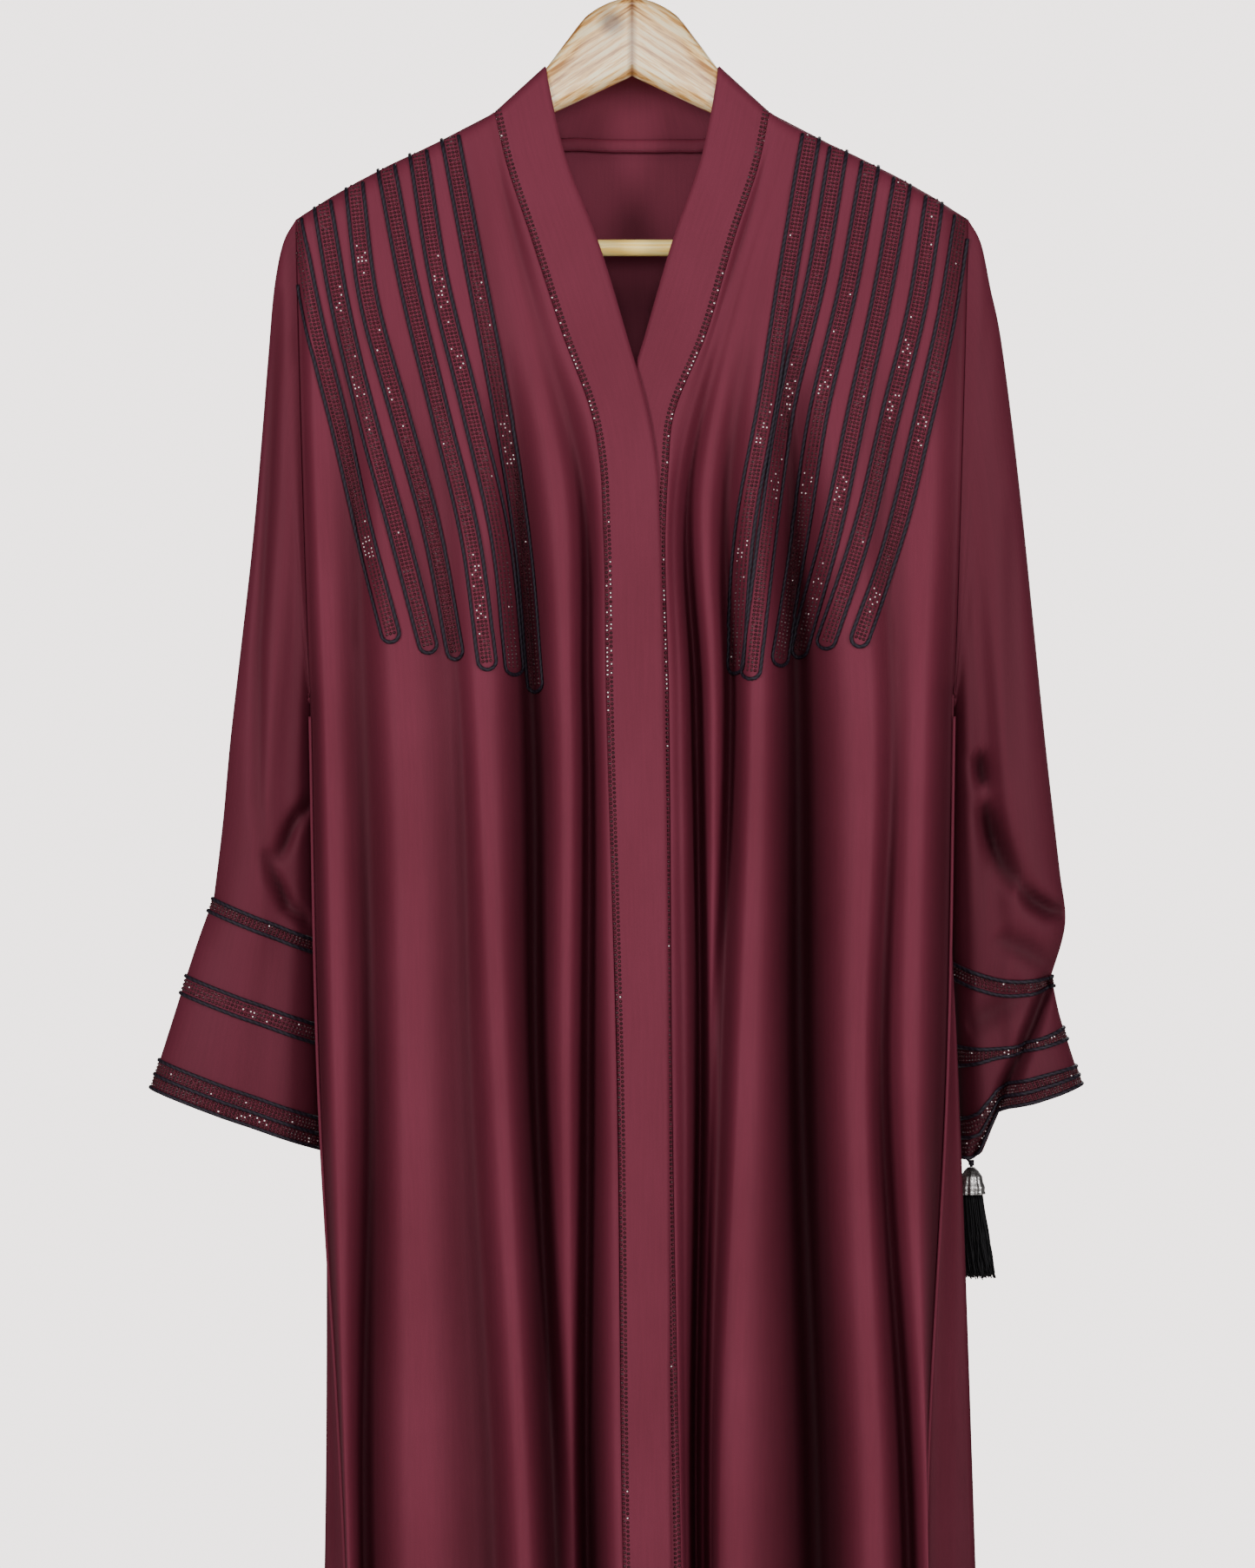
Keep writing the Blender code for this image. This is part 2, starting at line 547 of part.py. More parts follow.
def tassel():
    """A loop at the cuff's corner, a turned silver cap, and silk strands under one head."""
    x, y = TASSEL_AT
    cap_z = TASSEL_CAP[0][0] + SEAM
    top = np.array(TASSEL_LOOP_TOP)
    rod("tassel_loop", [top, (top + [x, y, cap_z]) / 2 + [0.8, 0, 0.3], (x, y, cap_z + 2.4),
                        (x, y, cap_z)], 1.1, DARK_CORD)
    sides = 14
    vertices, faces = [], []
    for z, radius in TASSEL_CAP:
        for i in range(sides):
            angle = 2 * pi * i / sides
            vertices.append(np.array([x + radius * cos(angle), y + radius * sin(angle), z]))
    for ring in range(len(TASSEL_CAP) - 1):
        for i in range(sides):
            a, b = ring * sides + i, ring * sides + (i + 1) % sides
            faces.append([a, b, b + sides, a + sides])
    faces.append(list(range(sides)))
    faces.append([len(vertices) - 1 - i for i in range(sides)])
    new_object("tassel_cap", vertices, faces, SILVER)
    tassel_strands()


def tassel_strands():
    """Three-sided strands, roots sunk in a disc under the cap, united into one body."""
    x, y = TASSEL_AT
    top = TASSEL_CAP[-1][0] - SEAM
    work = bmesh.new()
    bmesh.ops.create_cone(work, cap_ends=True, segments=16, radius1=9.0 * MM, radius2=8.6 * MM,
                          depth=(top - TASSEL_HEAD_Z) * MM)
    bmesh.ops.translate(work, verts=work.verts,
                        vec=(x * MM, y * MM, (top + TASSEL_HEAD_Z) / 2 * MM))
    mesh = bpy.data.meshes.new("tassel_strands")
    work.to_mesh(mesh)
    work.free()
    head = bpy.data.objects.new("tassel_strands", mesh)
    bpy.context.scene.collection.objects.link(head)
    mesh.materials.append(material_of(*DARK_CORD))

    vertices, faces = [], []
    for radius, count in TASSEL_RINGS:
        for i in range(count):
            turn = 2 * pi * i / count + radius
            length = TASSEL_STRAND_LENGTH * (1 - 0.03 * (1 + sin(5 * turn + radius)))
            first = len(vertices)
            for share, spread, thick in ((0, 0.94, 0.8), (0.5, 1.12, 0.8), (1, 1.3, 0.55)):
                z = TASSEL_HEAD_Z + 2.0 - (length + 2.0) * share
                px = x + radius * spread * cos(turn)
                py = y + radius * spread * sin(turn)
                for corner in range(3):
                    angle = turn + 2 * pi * corner / 3
                    vertices.append(np.array([px + thick * cos(angle),
                                              py + thick * sin(angle), z]))
            for ring in range(2):
                for corner in range(3):
                    a = first + ring * 3 + corner
                    b = first + ring * 3 + (corner + 1) % 3
                    faces.append([a, b, b + 3, a + 3])
            faces.append([first, first + 1, first + 2])
            faces.append([first + 8, first + 7, first + 6])
    strands = new_object("tassel_strand_guide", vertices, faces, DARK_CORD)
    strands.hide_render = True
    strands.display_type = "WIRE"
    union = head.modifiers.new("strands", "BOOLEAN")
    union.operation = "UNION"
    union.object = strands
    union.solver = "EXACT"
    union.use_self = False


def main():
    for obj in list(bpy.data.objects):
        bpy.data.objects.remove(obj, do_unlink=True)
    front_panel("front_right", FRONT_RIGHT_FOLDS, SIDE_SEAM_RIGHT, BAND_RIGHT)
    front_panel("front_left", FRONT_LEFT_FOLDS, SIDE_SEAM_LEFT, BAND_LEFT)
    neckband("neckband_right", BAND_RIGHT)
    neckband("neckband_left", BAND_LEFT)
    collar_back()
    back_panel()
    sleeve_and_cuff(-1, SLEEVE_RIGHT, CUFF_RIGHT, ("sleeve_right", "cuff_right"))
    sleeve_and_cuff(1, SLEEVE_LEFT, CUFF_LEFT, ("sleeve_left", "cuff_left"))
    hanger_arms()
    rod("hanger_bar", [(-BAR_HALF_LENGTH, 0, BAR_Z), (BAR_HALF_LENGTH, 0, BAR_Z)],
        BAR_RADIUS, WOOD)
    hook()
    tassel()


main()
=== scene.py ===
import bpy
import numpy as np
from math import pi
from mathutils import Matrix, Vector
from mathutils.bvhtree import BVHTree


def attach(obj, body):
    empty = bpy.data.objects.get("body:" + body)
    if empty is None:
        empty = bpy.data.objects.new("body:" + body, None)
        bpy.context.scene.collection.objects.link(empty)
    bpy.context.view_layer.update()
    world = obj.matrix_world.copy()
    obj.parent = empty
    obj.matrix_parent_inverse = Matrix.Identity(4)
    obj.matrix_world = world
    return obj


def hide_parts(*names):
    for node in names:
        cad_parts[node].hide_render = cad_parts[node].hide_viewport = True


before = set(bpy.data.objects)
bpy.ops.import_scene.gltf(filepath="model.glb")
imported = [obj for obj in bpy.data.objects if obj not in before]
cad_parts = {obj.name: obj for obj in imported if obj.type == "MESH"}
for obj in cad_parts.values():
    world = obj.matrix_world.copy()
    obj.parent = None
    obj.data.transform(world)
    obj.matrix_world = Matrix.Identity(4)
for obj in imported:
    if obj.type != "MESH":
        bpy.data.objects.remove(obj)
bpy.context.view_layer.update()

mm = 0.001  # every size below is in millimetres, and is scaled by this when a mesh is made

# The photo's frame: 1445 by 1806, its centre at x -3 and z -590, 1029 mm tall at the cloth
photoFrame = {"width": 1445, "height": 1806, "centreX": -3.0, "centreZ": -589.7, "tall": 1029.4,
              "distance": 3200.0, "clothY": -25.0}

body = {"hemZ": -1538.0, "shoulderTip": (222.0, -216.0), "underarm": (213.0, -531.0),
        "slotDepth": 10.0, "neckX": 91.0, "collarX": 58.0, "collarBackY": 25.0,
        "collarDrop": 20.0, "collarTopDrop": 1.0, "collarBow": 1.5, "seamGap": 0.3,
        "wall": 1.2, "doubleWall": 1.5, "rows": 150, "stepsPerFold": 11, "stitchesAboveHem": 20.0}

levelZ = {"chest": -274.0, "waist": -388.0, "hip": -531.0, "thigh": -787.0, "knee": -1044.0,
          "hem": -1538.0}
foldColumns = ("name", "top", "chest", "waist", "hip", "thigh", "knee", "hem",
               "yChest", "yWaist", "yHip", "yThigh", "yKnee", "yHem")


# colour, nodes and meshes

def linear(hexColour):
    # sRGB hex to linear: each channel c is c/12.92 below 0.04045, else ((c+0.055)/1.055)^2.4
    channels = np.array([int(hexColour[i:i + 2], 16) for i in (1, 3, 5)]) / 255
    low, high = channels / 12.92, ((channels + 0.055) / 1.055) ** 2.4
    return (*np.where(channels <= 0.04045, low, high).tolist(), 1.0)


def addNode(owner, kind, settings=None, inputs=None, stops=()):
    # adds one node; settings are its own properties, inputs are socket values or (node, socket) links,
    # and stops are a colour ramp's (position, hex colour) pairs
    tree = owner.node_tree
    node = tree.nodes.new(kind)
    for key, value in (settings or {}).items():
        setattr(node, key, value)
    for key, value in (inputs or {}).items():
        if isinstance(value, tuple) and len(value) == 2 and hasattr(value[0], "outputs"):
            tree.links.new(value[0].outputs[value[1]], node.inputs[key])
        else:
            node.inputs[key].default_value = value
    if stops:
        elements = node.color_ramp.elements
        elements[0].position, elements[1].position = stops[0][0], stops[-1][0]
        elements[0].color, elements[1].color = linear(stops[0][1]), linear(stops[-1][1])
        for position, colour in stops[1:-1]:
            elements.new(position).color = linear(colour)
    return node


def newMaterial(name, look):
    # a Principled shader with the fixed values set on its own sockets
    material = bpy.data.materials.new(name)
    material.use_nodes = True
    shader = material.node_tree.nodes["Principled BSDF"]
    for socket, value in look.items():
        shader.inputs[socket].default_value = value
    return material, shader


def link(owner, source, output, target, socket):
    owner.node_tree.links.new(source.outputs[output], target.inputs[socket])


def addObject(name, data):
    # an object in the scene that shows this mesh, lamp or camera
    made = bpy.data.objects.new(name, data)
    bpy.context.scene.collection.objects.link(made)
    return made


def meshPiece(name, points, faces, material, replacing=(), uv=None, values=None):
    # one mesh object in metres at the origin, riding on the single body
    mesh = bpy.data.meshes.new(name)
    mesh.from_pydata((np.asarray(points) * mm).tolist(), [], list(faces))
    if uv is not None:
        layer = mesh.uv_layers.new(name="clothMetres")
        loops = np.empty(len(mesh.loops), int)
        mesh.loops.foreach_get("vertex_index", loops)
        layer.data.foreach_set("uv", (np.asarray(uv) * mm)[loops].astype(np.float32).ravel())
    if values is not None:
        attribute = mesh.attributes.new("shade", "FLOAT", "POINT")
        attribute.data.foreach_set("value", np.asarray(values, np.float32))
    mesh.polygons.foreach_set("use_smooth", np.ones(len(mesh.polygons), bool))
    piece = addObject(name, mesh)
    mesh.materials.append(material)
    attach(piece, "root")
    if replacing:
        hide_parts(*replacing)
    return piece


def gridFaces(rows, columns, ring=False, flip=False):
    # quads between neighbouring rows and columns of a grid, closed round when ring is set
    r, c = np.meshgrid(np.arange(rows - 1), np.arange(columns if ring else columns - 1), indexing="ij")
    a, b = r * columns + c, r * columns + (c + 1) % columns
    faces = np.stack([a, b, b + columns, a + columns], axis=-1).reshape(-1, 4)
    return faces[:, ::-1] if flip else faces


def arcLengths(grid, ring=False):
    # cloth coordinates in millimetres: distance along the middle row and down the middle column
    rows, columns = grid.shape[:2]
    across = np.linalg.norm(np.diff(grid[rows // 2], axis=0), axis=1)
    down = np.linalg.norm(np.diff(grid[:, columns // 2], axis=0), axis=1)
    u = np.concatenate([[0], np.cumsum(across)])
    v = np.concatenate([[0], np.cumsum(down)])
    return np.stack(np.meshgrid(u, -v), axis=-1).reshape(-1, 2)


def openness(grid, reach=10, fade=18.0):
    # how open each point lies: exp(-depth / fade), where depth is how far it stands behind the most
    # forward of its neighbours within reach columns, averaged over five columns; the cloth's colour
    # is darkened by it as painted shade in the folds
    padded = np.pad(grid[..., 1], ((0, 0), (reach, reach)), mode="edge")
    columns = grid.shape[1]
    forward = np.min([padded[:, i:i + columns] for i in range(2 * reach + 1)], axis=0)
    smooth = np.pad(forward, ((0, 0), (2, 2)), mode="edge")
    forward = np.mean([smooth[:, i:i + columns] for i in range(5)], axis=0)
    return np.exp(-np.maximum(grid[..., 1] - forward, 0) / fade)


def clothPiece(name, grid, node, outward, ring=False, wall=None, shade=None):
    # a grid of points as a thin wall, its faces turned so that most of them face outward
    rows, columns = grid.shape[:2]
    flip = (gridNormals(grid, ring) * outward).sum() < 0
    piece = meshPiece(name, grid.reshape(-1, 3), gridFaces(rows, columns, ring, flip).tolist(),
                      crepe, (node,), arcLengths(grid, ring),
                      np.ones(rows * columns) if shade is None else shade.ravel())
    solid = piece.modifiers.new("cloth wall", "SOLIDIFY")
    solid.thickness = (wall or body["wall"]) * mm
    solid.offset = -1
    solid.use_even_offset = not ring   # a deep crease in a sleeve would throw spikes
    return piece


# curves and surfaces

def curveThrough(places, values, at):
    # Hermite curve through the points, its slopes the gradient of the values over the places
    places, values = np.asarray(places, float), np.asarray(values, float)
    slopes = np.gradient(values, places)
    i = np.clip(np.searchsorted(places, at, side="right") - 1, 0, len(places) - 2)
    span = places[i + 1] - places[i]
    t = np.clip((at - places[i]) / span, 0.0, 1.0)
    return (values[i] * (1 + 2 * t) * (1 - t) ** 2 + slopes[i] * span * t * (1 - t) ** 2
            + values[i + 1] * t * t * (3 - 2 * t) - slopes[i + 1] * span * t * t * (1 - t))


def unit(vectors):
    # each vector over its own length
    return vectors / np.maximum(np.linalg.norm(vectors, axis=-1, keepdims=True), 1e-9)


def gridNormals(grid, ring=False):
    # unit cross product of the steps across and down the grid
    down = np.gradient(grid, axis=0)
    if ring:
        across = np.roll(grid, -1, axis=1) - np.roll(grid, 1, axis=1)
    else:
        across = np.gradient(grid, axis=1)
    return unit(np.cross(across, down))


# the shoulder line and the hanger under it, the same both sides: x, then z or sizes
shoulder = {"x": (0, 14, 32, 43, 58, 75, 91, 120, 160, 195, 222),
            "z": (-72, -75, -86, -98, -115, -131, -145, -161, -180, -199, -216)}
arm = {"x": (0, 30, 60, 92, 125, 160, 185, 197, 205), "halfDepth": (8, 8, 7.5, 6, 10, 14, 15.5, 12, 8),
       "height": (53, 50, 40, 34, 34, 40, 54, 48, 36), "widestX": 185.0, "clearance": 3.5,
       "underCloth": 5.8, "crownFootZ": -121.4, "crownSlope": 0.47, "crownHalf": 60.0,
       "crownRise": 2.8}
archAngles = np.radians(np.linspace(0, 90, 9))


def shoulderZ(x):
    return curveThrough(shoulder["x"], shoulder["z"], np.abs(x))


def archRadius(x):
    # the arm's half depth and a clearance, shrinking towards the armhole at the shoulder tip
    over = curveThrough(arm["x"], arm["halfDepth"], np.minimum(np.abs(x), arm["widestX"]))
    return (over + arm["clearance"]) * np.clip((body["shoulderTip"][0] + 8 - np.abs(x)) / 18, 0.45, 1.0)


def rowsOf(topZ, radius):
    # heights of one fold line's rows: radius * (1 - cos a) round the arch, then down to the hem
    arched = topZ - radius * (1 - np.cos(archAngles))
    fall = np.linspace(0, 1, body["rows"] + 1)[1:] ** 1.15
    return np.concatenate([arched, arched[-1] + (body["hemZ"] - arched[-1]) * fall])


def foldLine(fold, facing, baseY=0.0, drop=0.0):
    # one fold line: x and y are curves through its levels, and y is radius * sin a round the arch
    row = dict(zip(foldColumns, fold))
    topZ, radius = shoulderZ(row["top"]) - drop, archRadius(row["top"])
    z = rowsOf(topZ, radius)
    footY = facing * max(radius, abs(baseY) + 1.4)
    places = [-levelZ[level] for level in levelZ]
    x = curveThrough([-topZ] + places, [row["top"]] + [row[level] for level in levelZ], -z)
    depths = [row["y" + level.capitalize()] for level in levelZ]
    y = curveThrough([radius - topZ] + places, [footY] + depths, -z)
    y[:len(archAngles)] = baseY + (footY - baseY) * np.sin(archAngles)
    return np.stack([x, y, z], axis=1)


def armholeDepth(z):
    # half an ellipse from shoulder tip to underarm: 2 * depth * sqrt(s * (1 - s))
    tip, under = body["shoulderTip"], body["underarm"]
    share = np.clip((tip[1] - z) / (tip[1] - under[1]), 0, 1)
    return 2 * body["slotDepth"] * np.sqrt(share * (1 - share))


def sideLine(seam, facing):
    # a panel's outer edge: straight in x down the armhole, then along the side seam's curve
    side = np.sign(seam["x"][0])
    tip, under = body["shoulderTip"], body["underarm"]
    z = rowsOf(tip[1], archRadius(tip[0]))
    z[np.argmin(np.abs(z - under[1]))] = under[1]
    places = [-levelZ[level] for level in ("hip", "thigh", "knee", "hem")]
    below = z < under[1]
    armholeX = tip[0] + (under[0] - tip[0]) * (tip[1] - z) / (tip[1] - under[1])
    x = np.where(below, curveThrough(places, seam["x"], -z), side * armholeX)
    y = np.where(below, curveThrough(places, seam["y"], -z), 0.0)
    return np.stack([x, y + facing * (armholeDepth(z) + body["seamGap"] / 2), z], axis=1)


def bandLines(band, inset):
    # the band's sewn line and its free line, moved in towards the opening by inset
    side = np.sign(band["seamX"][0])
    radius = archRadius(body["neckX"])
    lines = []
    for column, topX in (("seamX", body["neckX"]), ("freeX", body["collarX"])):
        topZ = shoulderZ(topX)
        z = rowsOf(topZ, radius)
        places = -np.array(band["z"], float)
        x = curveThrough(np.concatenate([[-topZ], places]),
                         np.concatenate([[side * topX], band[column]]), -z)
        y = curveThrough(np.concatenate([[radius - topZ], places[1:]]),
                         np.concatenate([[-radius], band["y"][1:]]), -z)
        half = body["seamGap"] / 2
        y[:len(archAngles)] = -half - (radius - half) * np.sin(archAngles)
        lines.append(np.stack([x - inset * side, y, z], axis=1))
    return lines


def between(lines, steps):
    # x and z run straight between two fold lines; y is a cosine wave, broad on the ridge that
    # stands forward and narrow in the valley
    columns = []
    for first, second in zip(lines, lines[1:]):
        lean = np.tanh((second[:, 1] - first[:, 1]) / 6.0)
        for share in np.arange(steps) / steps:
            s = (1 + lean) / 2 * share ** 1.3 + (1 - lean) / 2 * (1 - (1 - share) ** 1.3)
            wave = (1 - np.cos(pi * s)) / 2
            point = first + (second - first) * share
            point[:, 1] = first[:, 1] + (second[:, 1] - first[:, 1]) * wave
            columns.append(point)
    columns.append(lines[-1])
    return np.stack(columns, axis=1)


def creased(grid, creases):
    # adds soft troughs: depth * exp(-(distance to the crease's line / width)^2), fading at its ends
    x, z = grid[..., 0], grid[..., 2]
    push = np.zeros(x.shape)
    for crease in creases:
        line = np.array(crease["line"], float)
        best, along = np.full(x.shape, 1e9), np.zeros(x.shape)
        lengths = np.linalg.norm(np.diff(line, axis=0), axis=1)
        total, done = lengths.sum(), 0.0
        for a, b, length in zip(line, line[1:], lengths):
            t = np.clip(((x - a[0]) * (b[0] - a[0]) + (z - a[1]) * (b[1] - a[1])) / length ** 2, 0, 1)
            away = np.hypot(x - a[0] - t * (b[0] - a[0]), z - a[1] - t * (b[1] - a[1]))
            nearer = away < best
            best = np.where(nearer, away, best)
            along = np.where(nearer, (done + t * length) / total, along)
            done += length
        fade = np.sin(pi * np.clip(along, 0, 1)) ** 0.5 if crease.get("fade", True) else 1.0
        push += crease["depth"] * np.exp(-(best / crease["width"]) ** 2) * fade
    out = grid.copy()
    out[..., 1] += push
    return out


def deepened(grid, folds, deeper):
    # presses each valley in: depth * exp(-((x - valley's x) / width)^2), growing from the chest down
    x, z = grid[..., 0], grid[..., 2]
    out = grid.copy()
    for fold in folds:
        if fold[0] in deeper:
            depth, width = deeper[fold[0]]
            places = [-shoulderZ(fold[1])] + [-levelZ[level] for level in levelZ]
            middle = curveThrough(places, fold[1:8], -z)
            grown = np.clip((-z - 300) / 160, 0, 1) ** 0.8
            out[..., 1] += depth * grown * np.exp(-((x - middle) / width) ** 2)
    return out


def softWaves(grid, height, seed):
    # a little unevenness: long low waves, sin(x / a + slow drift in z), kept off the top rows
    rng = np.random.default_rng(seed)
    x, z = grid[..., 0], grid[..., 2]
    wave = np.zeros(x.shape)
    for width in (9.0, 14.0, 23.0):
        wave += np.sin(x / width + 1.6 * np.sin(z / rng.uniform(160, 260) + rng.uniform(0, 6)))
    out = grid.copy()
    out[..., 1] += height / 3 * wave * np.clip((-z - 230) / 200, 0, 1)
    return out


# the panels: a row for each fold line, x at the shoulder and each level, then y at each level

frontRightCut = {
    "folds": (
        ("ridgeA", -214, -210, -206, -200, -193, -187, -170, -20, -24, -28, -34, -38, -42),
        ("valleyB", -199, -194, -184, -178, -172, -177, -160, -20, -21, -20, -19, -18, -20),
        ("ridgeC", -182, -171, -163, -151, -146, -140, -131, -24, -31, -37, -44, -50, -56),
        ("valleyD", -160, -141, -130, -115, -107, -93, -88, -24, -25, -25, -27, -30, -33),
        ("ridgeE", -137, -114, -104, -99, -85, -70, -56, -25, -32, -40, -48, -55, -62),
        ("valleyF", -114, -89, -75, -66, -63, -52, -38, -20, -18, -15, -18, -22, -26),
        ("ridgeG", -104, -74, -50, -42, -43, -41, -27, -22, -31, -38, -38, -24, -26),
        ("valleyH", -98, -66, -34, -29, -29, -30, -17, -21, -25, -24, -20, -9, -12)),
    "deeper": {"valleyB": (5, 11), "valleyD": (1, 11), "valleyF": (13, 12), "valleyH": (10, 8)},
    "side": {"x": (-213, -207, -192, -176), "y": (0, -3, -8, -12)}}
frontLeftCut = {
    "folds": (
        ("ridgeI", 98, 60, 30, 31, 34, 35, 46, -22, -28, -32, -34, -34, -42),
        ("valleyJ", 103, 66, 38, 42, 45, 42, 53, -21, -22, -18, -14, -12, -18),
        ("ridgeK", 108, 72, 50, 54, 52, 47, 58, -23, -27, -31, -24, -22, -28),
        ("valleyL", 113, 80, 63, 65, 58, 52, 64, -22, -22, -20, -30, -34, -40),
        ("ridgeM", 119, 90, 82, 80, 70, 58, 74, -24, -31, -38, -45, -50, -56),
        ("valleyN", 129, 104, 105, 109, 112, 122, 127, -22, -18, -14, -12, -12, -18),
        ("ridgeO", 149, 136, 140, 154, 150, 158, 164, -25, -32, -39, -46, -53, -60),
        ("valleyP", 177, 168, 168, 172, 164, 180, 184, -24, -26, -28, -26, -24, -28),
        ("ridgeQ", 199, 193, 192, 187, 182, 192, 195, -22, -24, -32, -42, -46, -50)),
    "deeper": {"valleyJ": (12, 6), "valleyL": (11, 8), "valleyN": (19, 13), "valleyP": (4, 11)},
    "side": {"x": (213, 208, 195, 198), "y": (0, -3, -6, -10)}}
backCut = (
    ("wrapRight", -214, -210, -206, -203, -203, -203, -216, 18, 18, 15, 12, 8, 6),
    ("backA", -190, -187, -184, -184, -184, -188, -196, 25, 28, 30, 32, 34, 36),
    ("backB", -165, -160, -156, -152, -152, -154, -156, 23, 22, 22, 22, 22, 24),
    ("backC", -135, -130, -126, -122, -120, -120, -118, 27, 33, 38, 42, 46, 50),
    ("backD", -93, -100, -96, -92, -88, -86, -82, 25, 26, 26, 26, 26, 28),
    ("backE", -70, -66, -62, -60, -58, -54, -48, 27, 33, 40, 44, 48, 54),
    ("backF", -36, -34, -32, -30, -28, -24, -18, 27, 27, 27, 28, 28, 30),
    ("backG", 0, 2, 2, 2, 4, 8, 14, 28, 33, 38, 42, 46, 52),
    ("backH", 36, 36, 36, 36, 38, 42, 48, 27, 27, 27, 28, 28, 30),
    ("backI", 70, 68, 66, 66, 68, 72, 80, 27, 34, 40, 45, 49, 54),
    ("backJ", 93, 102, 98, 98, 100, 104, 110, 25, 26, 26, 26, 26, 28),
    ("backK", 135, 130, 128, 128, 130, 134, 142, 27, 33, 38, 42, 46, 50),
    ("backL", 165, 160, 158, 158, 160, 166, 172, 23, 22, 22, 22, 24, 26),
    ("backM", 190, 187, 186, 187, 193, 204, 212, 25, 28, 30, 32, 34, 36),
    ("wrapLeft", 214, 210, 207, 206, 217, 226, 240, 18, 18, 16, 14, 12, 10))
bandZ = (-180, -229, -294, -354, -381, -420, -531, -787, -1044, -1538)
bandRightCut = {"z": bandZ,
                "seamX": (-83, -67, -46, -25, -21, -19, -17, -10, -7, 4),
                "freeX": (-43, -24, -4, 12, 16, 18, 21, 24, 25, 34),
                "y": (-19, -24, -28, -33, -35, -37, -39, -44, -48, -54)}
bandLeftCut = {"z": bandZ,
               "seamX": (84, 68, 49, 26, 24, 22, 24, 26, 31, 42),
               "freeX": (45, 28, 9, -8, -11, -12, -11, -9, -6, 4),
               "y": (-19, -23, -26, -30, -32, -34, -36, -41, -45, -51)}


# materials

multiply = {"data_type": "RGBA", "blend_type": "MULTIPLY"}


def crepeMaterial():
    # dull-faced polyester crepe, woven: soft sheen, no gloss, faint cross threads
    look = {"Roughness": 0.66, "Specular IOR Level": 0.14}
    material, shader = newMaterial("wovenCrepeMaroon", look)
    place = addNode(material, "ShaderNodeUVMap", {"uv_map": "clothMetres"})
    # thread spacing 0.45 mm is too fine to show, so it is drawn at 1.1 mm
    threads = addNode(material, "ShaderNodeMapping", inputs={"Vector": (place, "UV"),
                                                             "Scale": (900.0, 900.0, 1.0)})
    weave = addNode(material, "ShaderNodeTexNoise", inputs={
        "Vector": (threads, "Vector"), "Scale": 1.0, "Detail": 2.0, "Roughness": 0.7})
    slubs = addNode(material, "ShaderNodeMapping", inputs={"Vector": (place, "UV"),
                                                           "Scale": (520.0, 26.0, 1.0)})
    slub = addNode(material, "ShaderNodeTexNoise", inputs={
        "Vector": (slubs, "Vector"), "Scale": 1.0, "Detail": 3.0})
    cloud = addNode(material, "ShaderNodeTexNoise", inputs={
        "Vector": (place, "UV"), "Scale": 7.0, "Detail": 4.0, "Roughness": 0.5})
    colour = addNode(material, "ShaderNodeValToRGB", inputs={"Fac": (cloud, "Fac")},
                     stops=((0.3, "#622333"), (0.7, "#692839")))
    grain = addNode(material, "ShaderNodeValToRGB", inputs={"Fac": (slub, "Fac")},
                    stops=((0.3, "#f6f6f6"), (0.7, "#ffffff")))
    mix = addNode(material, "ShaderNodeMix", multiply,
                  {"Factor": 1.0, 6: (colour, "Color"), 7: (grain, "Color")})
    # painted shade: deep in a fold little light would reach the cloth, so its colour is darkened to
    # about a quarter by the shade attribute
    opened = addNode(material, "ShaderNodeAttribute", {"attribute_name": "shade"})
    fall = addNode(material, "ShaderNodeValToRGB", inputs={"Fac": (opened, "Fac")},
                   stops=((0.05, "#857a7e"), (0.3, "#c4bbbe"), (0.95, "#ffffff")))
    deep = addNode(material, "ShaderNodeMix", multiply,
                   {"Factor": 1.0, 6: (mix, 2), 7: (fall, "Color")})
    link(material, deep, 2, shader, "Base Color")
    bump = addNode(material, "ShaderNodeBump", inputs={
        "Height": (weave, "Fac"), "Strength": 0.18, "Distance": 0.0004})
    link(material, bump, "Normal", shader, "Normal")
    return material


def cordMaterial():
    # twisted rayon soutache, near-black plum: dull satin threads, their grooves across darkened as
    # painted shade
    look = {"Roughness": 0.6, "Specular IOR Level": 0.25}
    material, shader = newMaterial("rayonSoutacheNavy", look)
    place = addNode(material, "ShaderNodeUVMap", {"uv_map": "clothMetres"})
    # the twist runs round the cord once in 2.6 mm
    twist = addNode(material, "ShaderNodeTexWave", {"wave_type": "BANDS", "bands_direction": "DIAGONAL"},
                    {"Vector": (place, "UV"), "Scale": 140.0, "Distortion": 1.2, "Detail": 1.0})
    # the colour follows the twist that makes the bump, so the grooves get painted shade
    colour = addNode(material, "ShaderNodeValToRGB", inputs={"Fac": (twist, "Fac")},
                     stops=((0.0, "#0e0911"), (1.0, "#221926")))
    link(material, colour, "Color", shader, "Base Color")
    bump = addNode(material, "ShaderNodeBump", inputs={
        "Height": (twist, "Fac"), "Strength": 0.5, "Distance": 0.0003})
    link(material, bump, "Normal", shader, "Normal")
    return material


def stoneMaterial():
    # deep red glass stones in dull settings; a few are painted near white on top, a painted glint
    # where their tables would catch the light
    look = {"Roughness": 0.45, "Specular IOR Level": 0.3, "Coat Weight": 0.08, "Coat Roughness": 0.2}
    material, shader = newMaterial("foiledGlassStone", look)
    tintAndGlint = addNode(material, "ShaderNodeAttribute", {"attribute_name": "shade"})
    # the last stop, near white, is a painted glint
    colour = addNode(material, "ShaderNodeValToRGB", inputs={"Fac": (tintAndGlint, "Fac")},
                     stops=((0.0, "#26080f"), (0.3, "#2c0c14"), (0.7, "#4c141e"),
                            (0.88, "#6e2a36"), (1.0, "#f8f4f2")))
    link(material, colour, "Color", shader, "Base Color")
    return material


